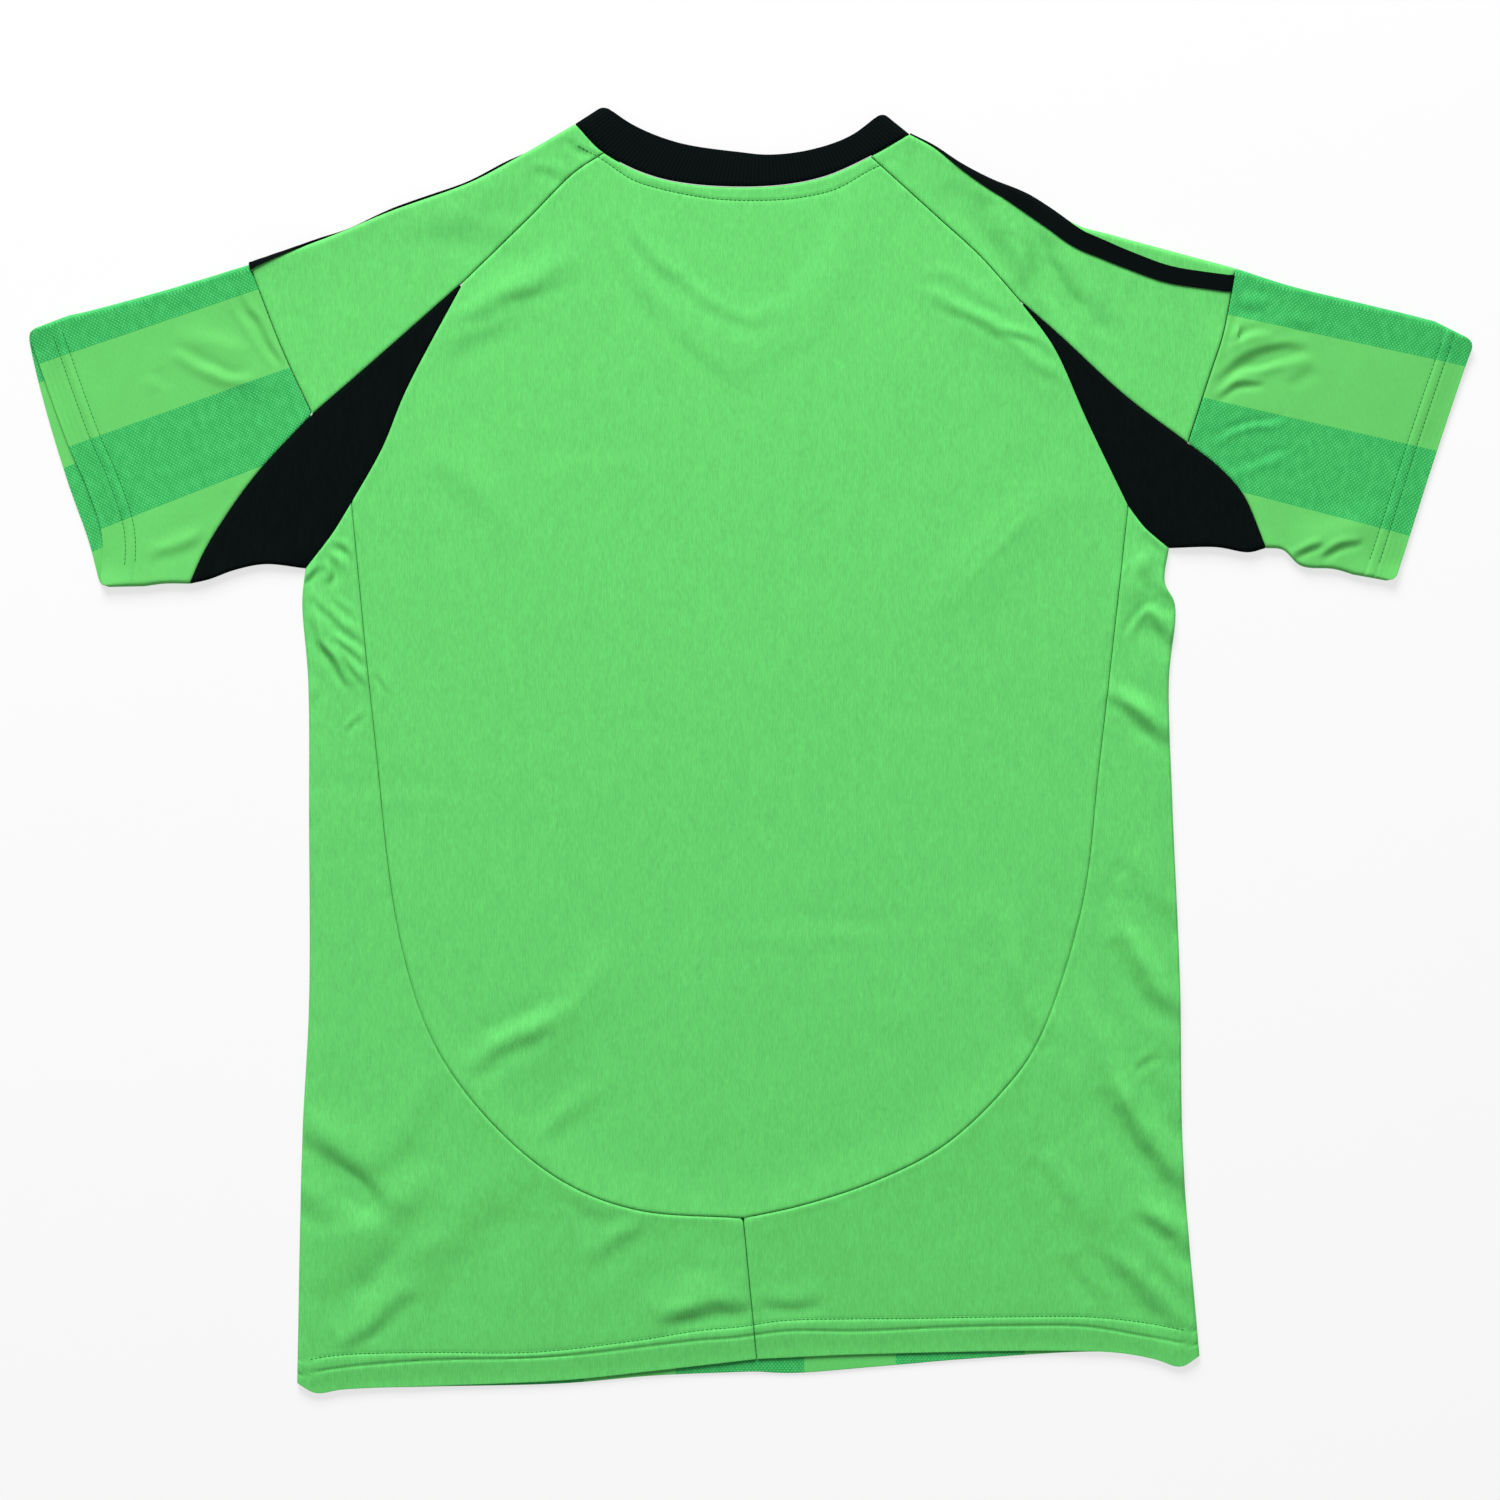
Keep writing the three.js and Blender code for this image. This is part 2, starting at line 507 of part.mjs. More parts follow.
// Sleeve of one side: a flattened tube from the shoulder seam and the gusset to the cuff, with its hem.
function sleevePlan(side, cuffName) {
  const c = curves[side];
  const s = seams[side];
  const head = joined(reversed(s.sleeveSeam), s.gussetSleeve);
  const cuff = stations(c[cuffName], head.length - 1);
  const fold = stations(c.sleeveFold, STEPS.sleeveLength, 0, c.sleeveFold.length - CUFF_HEM);
  const under = stations(c.sleeveUnder, STEPS.sleeveLength, 0, c.sleeveUnder.length - CUFF_HEM);
  const start = fold.at(-1).clone().sub(cuff[0]);
  const finish = under.at(-1).clone().sub(cuff.at(-1));
  const hemLine = cuff.map((p, j) => p.clone().add(start.clone().lerp(finish, j / (cuff.length - 1))));
  const stepLine = hemLine.map((p, j) => p.clone().lerp(cuff[j], HEM_STEP / CUFF_HEM));
  return seamed([...patch(head, hemLine, fold, under), stepLine, cuff], ["top"]);
}
function sleeve(side) {
  const above = sleevePlan(side, "cuff");
  const below = sleevePlan(side, "frontCuff").map(reversed);
  const hemRows = 2;
  const rise = (i) => (i >= above.length - hemRows ? HEM_RISE : 0);
  return wall(above.map((row, i) => foldedRing(row, below[i], { rise: rise(i) })), true);
}

// Underarm gusset of one side: a wedge from its tip on the back, round the underarm, to its tip on the front.
const GUSSET_TIP = 3; // distance from the seams' meeting point to the blunt end of the wedge
function gusset(side) {
  const s = seams[side];
  const blunt = (run) => {
    const share = GUSSET_TIP / run[0].distanceTo(run[1]);
    return [run[0].clone().lerp(run[1], share), ...run.slice(1)];
  };
  const sleeveEdge = blunt(joined(s.gussetShoulder, s.gussetSleeve));
  const bodyEdge = blunt(joined(s.gussetBody, s.gussetSide));
  const tip = s.underarm.map((_, j) => sleeveEdge[0].clone().lerp(bodyEdge[0], j / STEPS.gussetAcross));
  const plan = seamed(patch(tip, s.underarm, sleeveEdge, bodyEdge), ["left", "right"]);
  return wall(transposed(plan).map((line) => foldedLine(line, reversed(line))));
}

// Collar: one ring, along the back neck, over each shoulder fold and down to the point of the V in front.
function collar() {
  const seamBack = joined(seams.left.neckSide, neckMiddle, reversed(seams.right.neckSide));
  const frontHalf = (side) => joined(seams[side].frontNeckSide, seams[side].frontNeckV);
  const seamFront = joined(frontHalf("right"), reversed(frontHalf("left")));
  const freeBack = stations(collarTop, seamBack.length - 1);
  const freeHalf = (side) => stations(curves[side].frontCollar, frontHalf(side).length - 1);
  const freeFront = joined(freeHalf("right"), reversed(freeHalf("left")));
  const across = Array.from({ length: STEPS.collarWidth + 1 }, (_, i) => i / STEPS.collarWidth);
  const between = (seam, free) => seamed(across.map((w) => seam.map((p, j) => p.clone().lerp(free[j], w))), ["top"]);
  const above = between(seamBack, freeBack);
  const below = between(seamFront, freeFront);
  const cloth = { thick: COLLAR_CLOTH, lift: COLLAR_RISE };
  const rows = above.map((row, i) => foldedRing(row, below[i], cloth));
  const backPoints = seamBack.length - 2;
  for (const row of rows) for (const point of row.slice(0, backPoints)) point.at.z += COLLAR_RISE;
  return wall(rows, true);
}

// Shoulder tape: one plain strip laid on the shoulder panel. Distances count from the middle of the fold's round,
// over the back. The left one turns over the fold, so its lines also pass through the corners of the round.
const TAPE = {
  left: [{ along: 0, from: -8, to: 4.0 }, { along: 0.7, from: -8, to: 4.2 }, { along: 1, from: -7, to: 5.4 }],
  right: [
    { along: 0, from: 0, to: 10 },
    { along: 0.3, from: 0, to: 10.5 },
    { along: 0.6, from: 4.5, to: 14.5 },
    { along: 0.8, from: 10.5, to: 20 },
    { along: 1, from: 5, to: 15 },
  ],
};
function tape(side) {
  const rows = shoulderRows(side);
  const table = TAPE[side];
  const centre = STEPS.neckSide + FOLD_STEPS / 2;
  const strip = rows.map((row, i) => {
    const share = i / (rows.length - 1);
    const k = Math.max(1, table.findIndex(({ along }) => along >= share));
    const blend = (share - table[k - 1].along) / (table[k].along - table[k - 1].along);
    const from = THREE.MathUtils.lerp(table[k - 1].from, table[k].from, blend);
    const to = THREE.MathUtils.lerp(table[k - 1].to, table[k].to, blend);
    const even = Array.from({ length: STEPS.tapeWidth + 1 }, (_, j) => to + ((from - to) * j) / STEPS.tapeWidth);
    const places = side === "left" ? [to, ...roundCorners(row, centre), from] : even;
    return places.map((distance) => {
      const { at, out } = pointOnLine(row, centre, distance);
      return { at: at.addScaledVector(out, TAPE_GAP + TAPE_CLOTH), out, thick: TAPE_CLOTH };
    });
  });
  return wall(strip);
}

// Distances of a round's corners from its middle point, along its line.
function roundCorners(line, centre) {
  const half = FOLD_STEPS / 2;
  const steps = Array.from({ length: FOLD_STEPS }, (_, k) => {
    const a = centre - half + k;
    return line[a].at.distanceTo(line[a + 1].at);
  });
  const sum = (spans) => spans.reduce((total, span) => total + span, 0);
  return Array.from({ length: FOLD_STEPS + 1 }, (_, k) =>
    k <= half ? sum(steps.slice(k, half)) : -sum(steps.slice(half, k)),
  );
}

// The point at a distance from the point number start of a line. Distances run back towards the line's first point.
function pointOnLine(line, start, distance) {
  const step = distance > 0 ? -1 : 1;
  let left = Math.abs(distance);
  let k = start;
  let span = line[k].at.distanceTo(line[k + step].at);
  while (left > span) {
    left -= span;
    k += step;
    span = line[k].at.distanceTo(line[k + step].at);
  }
  const [a, b] = [line[k], line[k + step]];
  return { at: a.at.clone().lerp(b.at, left / span), out: a.out.clone().lerp(b.out, left / span).normalize() };
}

const bodyCloth = new THREE.MeshStandardMaterial({ color: COLOURS.body, roughness: 0.62, metalness: 0 });
const sleeveCloth = new THREE.MeshStandardMaterial({ color: COLOURS.sleeve, roughness: 0.66, metalness: 0 });
const blackCloth = new THREE.MeshStandardMaterial({ color: COLOURS.black, roughness: 0.75, metalness: 0 });

const jersey = new THREE.Group();
function add(name, geometry, material) {
  const mesh = new THREE.Mesh(geometry, material);
  mesh.name = name;
  jersey.add(mesh);
}
add("front_panel", frontPanel(), bodyCloth);
add("back_panel", backPanel(), bodyCloth);
add("collar", collar(), blackCloth);
for (const side of SIDES) {
  add(`lower_back_${side}`, sidePanel(side), bodyCloth);
  add(`shoulder_${side}`, wall(shoulderRows(side)), bodyCloth);
  add(`sleeve_${side}`, sleeve(side), sleeveCloth);
  add(`gusset_${side}`, gusset(side), blackCloth);
  add(`tape_${side}`, tape(side), blackCloth);
}

export default jersey;
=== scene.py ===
"""Football jersey laid flat on its front with its back up. Plan sizes below are in millimetres, as [x, y]."""

import math

import bpy
import numpy as np
from bpy.props import FloatProperty, FloatVectorProperty, PointerProperty
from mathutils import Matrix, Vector, kdtree, noise


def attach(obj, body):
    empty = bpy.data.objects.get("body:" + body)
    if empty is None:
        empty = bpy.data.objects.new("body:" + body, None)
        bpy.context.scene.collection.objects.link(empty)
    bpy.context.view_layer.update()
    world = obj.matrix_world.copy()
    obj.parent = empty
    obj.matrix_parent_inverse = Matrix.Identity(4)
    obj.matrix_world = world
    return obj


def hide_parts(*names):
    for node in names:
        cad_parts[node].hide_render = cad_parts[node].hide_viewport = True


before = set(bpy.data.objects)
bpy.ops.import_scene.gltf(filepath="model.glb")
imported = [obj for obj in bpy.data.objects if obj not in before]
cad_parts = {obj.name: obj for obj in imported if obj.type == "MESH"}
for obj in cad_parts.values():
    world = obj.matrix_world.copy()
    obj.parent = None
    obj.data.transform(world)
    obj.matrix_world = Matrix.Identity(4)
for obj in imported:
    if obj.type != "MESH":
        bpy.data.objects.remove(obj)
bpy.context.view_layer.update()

bl_info = {
    "name": "Football jersey",
    "version": (1, 0, 0),
    "blender": (4, 5, 0),
    "location": "3D View > Sidebar > Jersey",
    "description": "Builds each cut and sewn piece of a short-sleeved jersey that lies flat, back up",
    "category": "Object",
}

MM = 0.001
SIDES = ("left", "right")

# Layers, as in the solids
UPPER_TOP = 3.2  # outer face of the upper layer
FOLD_TOP = 5.0  # the same at a folded edge
FOLD_FADE = 20  # distance in which a puffed edge settles
FOLD_DEPTH = 2.5  # depth of a folded edge's round, in plan
FOLD_STEPS = 8
FOLD_CLEAR = 4.2  # last point of a row before the round
FRONT_TOP = 1.0  # outer face of the front panel, seen past the back's hem
TAPE_LIFT = (1.5, 12, 24)  # lift of the lower layer over the left tape, and where it starts and ends to fall
COLLAR_RISE = 0.4  # how much higher the collar lies than the cloth beside it
COLLAR_DEPTH = 25  # depth of the collar's band
COLLAR_CORNER = 4.5  # radius of the free edge's corners at the shoulder folds
SIDE_WRAP = 15  # depth of the side panels' strip under the side fold
SIDE_EASE = 20  # length in which that strip turns level below the gusset
HEM_ZONE = 30  # closely ruled depth at the bottom hem
CUFF_ZONE = 26  # the same at the cuffs
CUFF_CORNER = 5  # radius of a cuff's corners
HEM_PITCH = 0.8  # pitch of the rows in both
GUSSET_TIP = 3  # length that the gussets' sharp tips are cut back
ARMPIT_ZONE = 110  # closely ruled length of the side panels below the gusset
ARMPIT_PITCH = 1.7  # pitch of its rows
SIDE_PITCH = 2.3  # pitch of the rows below it

# Relief of the upper layer
EDGE_SINK = (1.0, 14)  # how far it comes down at its open edges, and from how near
EDGE_SINK_FROM = 14  # distance from a folded edge where that is whole
SIDE_ROUND = (1.3, 7)  # how far the side folds come down at their edge, and from how near
FLOOR = 2.15  # height that its creases stay above
FLOOR_HOLD = 6  # how sharply they are held there
SEAM_LIP = (0.08, 2.6, 1.6)  # rise beside a seam, its distance from the seam, and its half width
SEAM_GROOVE = (0.6, 0.75)  # depth and half width
NECK_STITCH_GROOVE = (0.35, 0.9)
SCOOP_RIDGE = 1.6  # height that the allowance of the scooped seam adds at the seam
SCOOP_RIDGE_ABOVE, SCOOP_RIDGE_BELOW = 16, 42  # how far it fades on each side of the seam
SCOOP_RIDGE_FROM = (130, 215)  # it starts at this distance below the middle and is full at the second one

# Unevenness of the laid cloth: height, size in plan, seed, and stretch along Y
BROAD_WAVES = (0.42, 95, 3.1, 1.0)
RUFFLES = ((0.20, 34, 7.7, 1.5), (0.08, 13, 2.9, 1.4))
RUFFLED_LOW = (0.8, 40, 240)  # more ruffles towards the hem: how much, and between which distances
RUFFLED_SLEEVES = (1.6, 262, 300)  # the same out along the sleeves
SEAM_PUCKER = (0.22, 9, 11.3)  # small unevenness beside the seams
SEAM_PUCKER_REACH = 6
FOLD_PUCKER = (0.30, 14, 5.9)  # the same along the folded edges
FOLD_PUCKER_REACH = 10

# Seams and folded edges of each side, as points that a smooth curve runs through
EDGES = {
    "left": {
        "shoulder_fold": [
            (-103, 369), (-142, 346.5), (-165, 334.5), (-212, 317.5), (-248, 302.5), (-295, 286),
        ],
        "raglan": [(-86, 352), (-104, 340), (-130, 314), (-169, 276)],
        "front_raglan": [(-99, 352), (-130, 318), (-169, 276)],
        "gusset_shoulder": [(-169, 276), (-228, 224), (-258, 198)],
        "gusset_sleeve": [(-258, 198), (-293, 160), (-320, 120), (-330, 98)],
        "gusset_body": [(-169, 276), (-203, 212), (-217, 178), (-235, 146)],
        "gusset_side": [(-235, 146), (-246, 128), (-262, 107)],
        "underarm": [(-330, 98), (-319, 100.5), (-304, 106), (-286, 109.5), (-262, 107)],
        "sleeve_seam": [(-258, 198), (-276, 237), (-295, 286)],
        "sleeve_fold": [(-295, 286), (-345, 271), (-389, 259), (-410, 254), (-426, 247)],
        "sleeve_under": [(-330, 98), (-345, 98), (-366, 95.5), (-383, 96)],
        "cuff": [(-426, 247), (-402, 180), (-391, 155), (-382, 126), (-383, 96)],
        "front_cuff": [(-426, 247), (-423, 231), (-414, 196), (-402, 157), (-390, 123), (-383, 96)],
        "side_fold": [
            (-262, 107), (-264, 88), (-260.5, 41), (-260, -41), (-260, -148), (-264, -230), (-267, -373),
        ],
        "scoop": [
            (-235, 146), (-222, 16), (-206, -112), (-185, -175), (-150, -222), (-109, -255), (-67, -271),
            (-4, -276),
        ],
        "hem": [
            (4, -359), (-57, -366), (-109, -371.5), (-189, -375), (-240, -377), (-256, -379),
            (-267, -373),
        ],
        "front_hem": [
            (3, -366.5), (-57, -369), (-109, -373.5), (-189, -375.5), (-240, -377), (-256, -379),
            (-267, -373),
        ],
        "front_neck": [(-103, 369), (-99, 352), (-74, 288), (-41, 247), (-5, 218)],
        "front_collar": [(-86, 380), (-73, 336), (-41, 274), (-5, 247)],
    },
    "right": {
        "shoulder_fold": [
            (94, 363), (108, 356), (124, 345.5), (142, 336), (163, 327.5), (193, 309.5), (212, 304),
            (286, 284),
        ],
        "raglan": [(71, 350), (113, 312), (136, 291), (159, 265)],
        "front_raglan": [(90, 346), (125, 312), (159, 265)],
        "gusset_shoulder": [(159, 265), (183, 244), (221, 209), (258, 181)],
        "gusset_sleeve": [(258, 181), (276, 167), (291, 150), (304, 119)],
        "gusset_body": [(159, 265), (179, 238), (199, 194), (223, 144)],
        "gusset_side": [(223, 144), (233, 131), (247, 119)],
        "underarm": [(304, 119), (294, 116.5), (275, 119.5), (247, 119)],
        "sleeve_seam": [(258, 181), (271, 221), (279, 246), (286, 284)],
        "sleeve_fold": [(286, 284), (319, 273.5), (360, 263.5), (395, 255), (410, 250.5), (427, 241)],
        "sleeve_under": [
            (304, 119), (314, 118), (325, 108.5), (345, 106.5), (362, 101), (372, 97.5), (380, 99),
        ],
        "cuff": [(427, 241), (420, 221), (403, 170), (386, 117), (380, 99)],
        "front_cuff": [(427, 241), (420, 221), (403, 170), (386, 117), (380, 99)],
        "side_fold": [
            (247, 119), (244.5, 99), (250.5, 86), (247, 41), (249, -30), (253.5, -136), (255.5, -242),
            (265, -357),
        ],
        "scoop": [
            (223, 144), (206, -7), (195, -95), (169, -173), (148, -202), (113, -234), (74, -254), (32, -268),
            (-4, -276),
        ],
        "hem": [(4, -359), (74, -356), (212, -355), (238, -359), (254, -363.5), (265, -357)],
        "front_hem": [
            (3, -366.5), (24, -367.5), (77, -363.5), (130, -359), (212, -355), (238, -359), (254, -363.5),
            (265, -357),
        ],
        "front_neck": [(94, 363), (90, 346), (64, 284), (32, 243), (-5, 218)],
        "front_collar": [(78, 376), (65, 330), (32, 271), (-5, 247)],
    },
}
BACK_NECK = [(-103, 369), (-86, 352), (-53, 337), (-1, 332), (40, 337), (71, 350), (94, 363)]
COLLAR_TOP = [(-86, 380), (-68, 368), (-42, 358), (-6, 352.5), (12, 351), (36, 354), (59, 362), (78, 376)]
CENTRE_SEAM = [(-4, -276), (-1, -307), (4, -359)]

# Hems. A line of stitches is a groove of the given depth and half width.
HEM_RISE = 0.3
HEM_RISE_REACH = (-0.6, 1.4)  # distances below the upper stitch line where the rise begins and ends
HEM_LINE, HEM_FOLD_LINE = (0.30, 0.8), (0.55, 0.8)
HEM_PUFF = 0.24  # rise of the band between the lines
HEM_EDGE = (0.35, 12)  # how far the hem falls off below the lower line, and in what distance
HEM_FROM = -320  # the bottom hem is below this Y
CUFF_RISE = 0.6 * HEM_RISE
CUFF_RISE_REACH = (1.5, 2.5)
CUFF_LINE = (0.22, 0.8)
CUFF_PUFF = 0.22
CUFF_EDGE = (0.30, 10)
CUFF_FROM = 350  # the cuffs are further out than this
CUFF_RIPPLE = {"left": 0.11, "right": 0.04}  # height of the fine lengthwise ripple in the cuffs' hems
RIPPLE_PITCH = 3.1
RIPPLE_CHANGES = (0.6, 25, 4.4)  # its least share, and the size and seed of its changes

# Stitching
HEM_STITCH = [
    (-267, -361), (-247, -357), (-192, -355), (-129, -355), (-67, -348), (-29.5, -342), (-6.6, -340),
    (18.6, -336.4), (65, -335.2), (95, -335), (157, -334), (198, -334), (229, -337), (262, -343),
]
HEM_GROOVE = [
    (-267, -369), (-247, -365), (-192, -360), (-119, -358), (-47, -350), (-29.5, -348), (-8.4, -346.5),
    (21.7, -342.7), (65, -342.7), (115, -340.5), (157, -339.5), (198, -340), (229, -345), (262, -351),
]
NECK_STITCH = [
    (-107, 359), (-87, 348), (-70, 336.6), (-53, 331), (-22, 325.2), (9, 324.2), (30, 326), (51, 331),
    (71, 342), (85, 348),
]
CUFF_STITCHES = {"left": (13.5, 19.5), "right": (12.4, 18.3)}  # distances from the cuff's edge

# Largest creases, as in the solids: from, to, half width, rise, and the bow of the middle
MAIN_CREASES = [
    ((-190, 232), (-96, 292), 11, 1.5, 6),
    ((190, 204), (100, 280), 11, 1.5, -6),
    ((192, 162), (108, 72), 12, 1.3, 0),
    ((-192, 180), (-138, 122), 12, 0.9, 3),
    ((-172, -196), (-78, -116), 13, 1.5, -10),
    ((134, -80), (174, -174), 13, 1.2, -3),
    ((-258, 96), (-222, 36), 9, 1.6, -4),
    ((250, 84), (216, 108), 9, 2.0, 4),
    ((208, 38), (250, 4), 9, 1.4, 2),
    ((216, -90), (256, -184), 11, 1.7, -3),
    ((196, -142), (260, -268), 11, 1.9, -6),
    ((176, -236), (256, -322), 13, 1.9, -5),
    ((-264, -214), (-192, -266), 14, 1.6, 4),
    ((-252, -326), (-182, -258), 14, 1.4, 4),
    ((-66, -338), (0, -298), 13, 1.8, 4),
    ((-340, 246), (-282, 208), 11, 1.5, 2),
    ((268, 230), (326, 250), 11, 1.6, 4),
    ((316, 122), (374, 140), 10, 1.8, -5),
    ((132, 334), (178, 258), 12, 1.0, 4),
    ((-122, 340), (-200, 304), 12, 0.9, -3),
]
LIGHT_SIDE = (-0.15, 1.0)  # the way towards the light, in plan
CREASE_REACH = 4  # half widths from a fine crease past which it is not felt
CREASE_ENDS = 0.6  # power of its fading at the ends: the smaller, the blunter they are
CREASE_STRENGTH = 0.8  # share of the strengths below that is used
CREASE_UNEVEN = (0.4, 6.2)  # how much the strength changes along the way, and the seed
CREASE_WANDER = (2.2, 8.1, 9.3)  # how far the lines leave their way, and the seeds for X and Y
CREASE_PITCH = 15  # length in which they do both

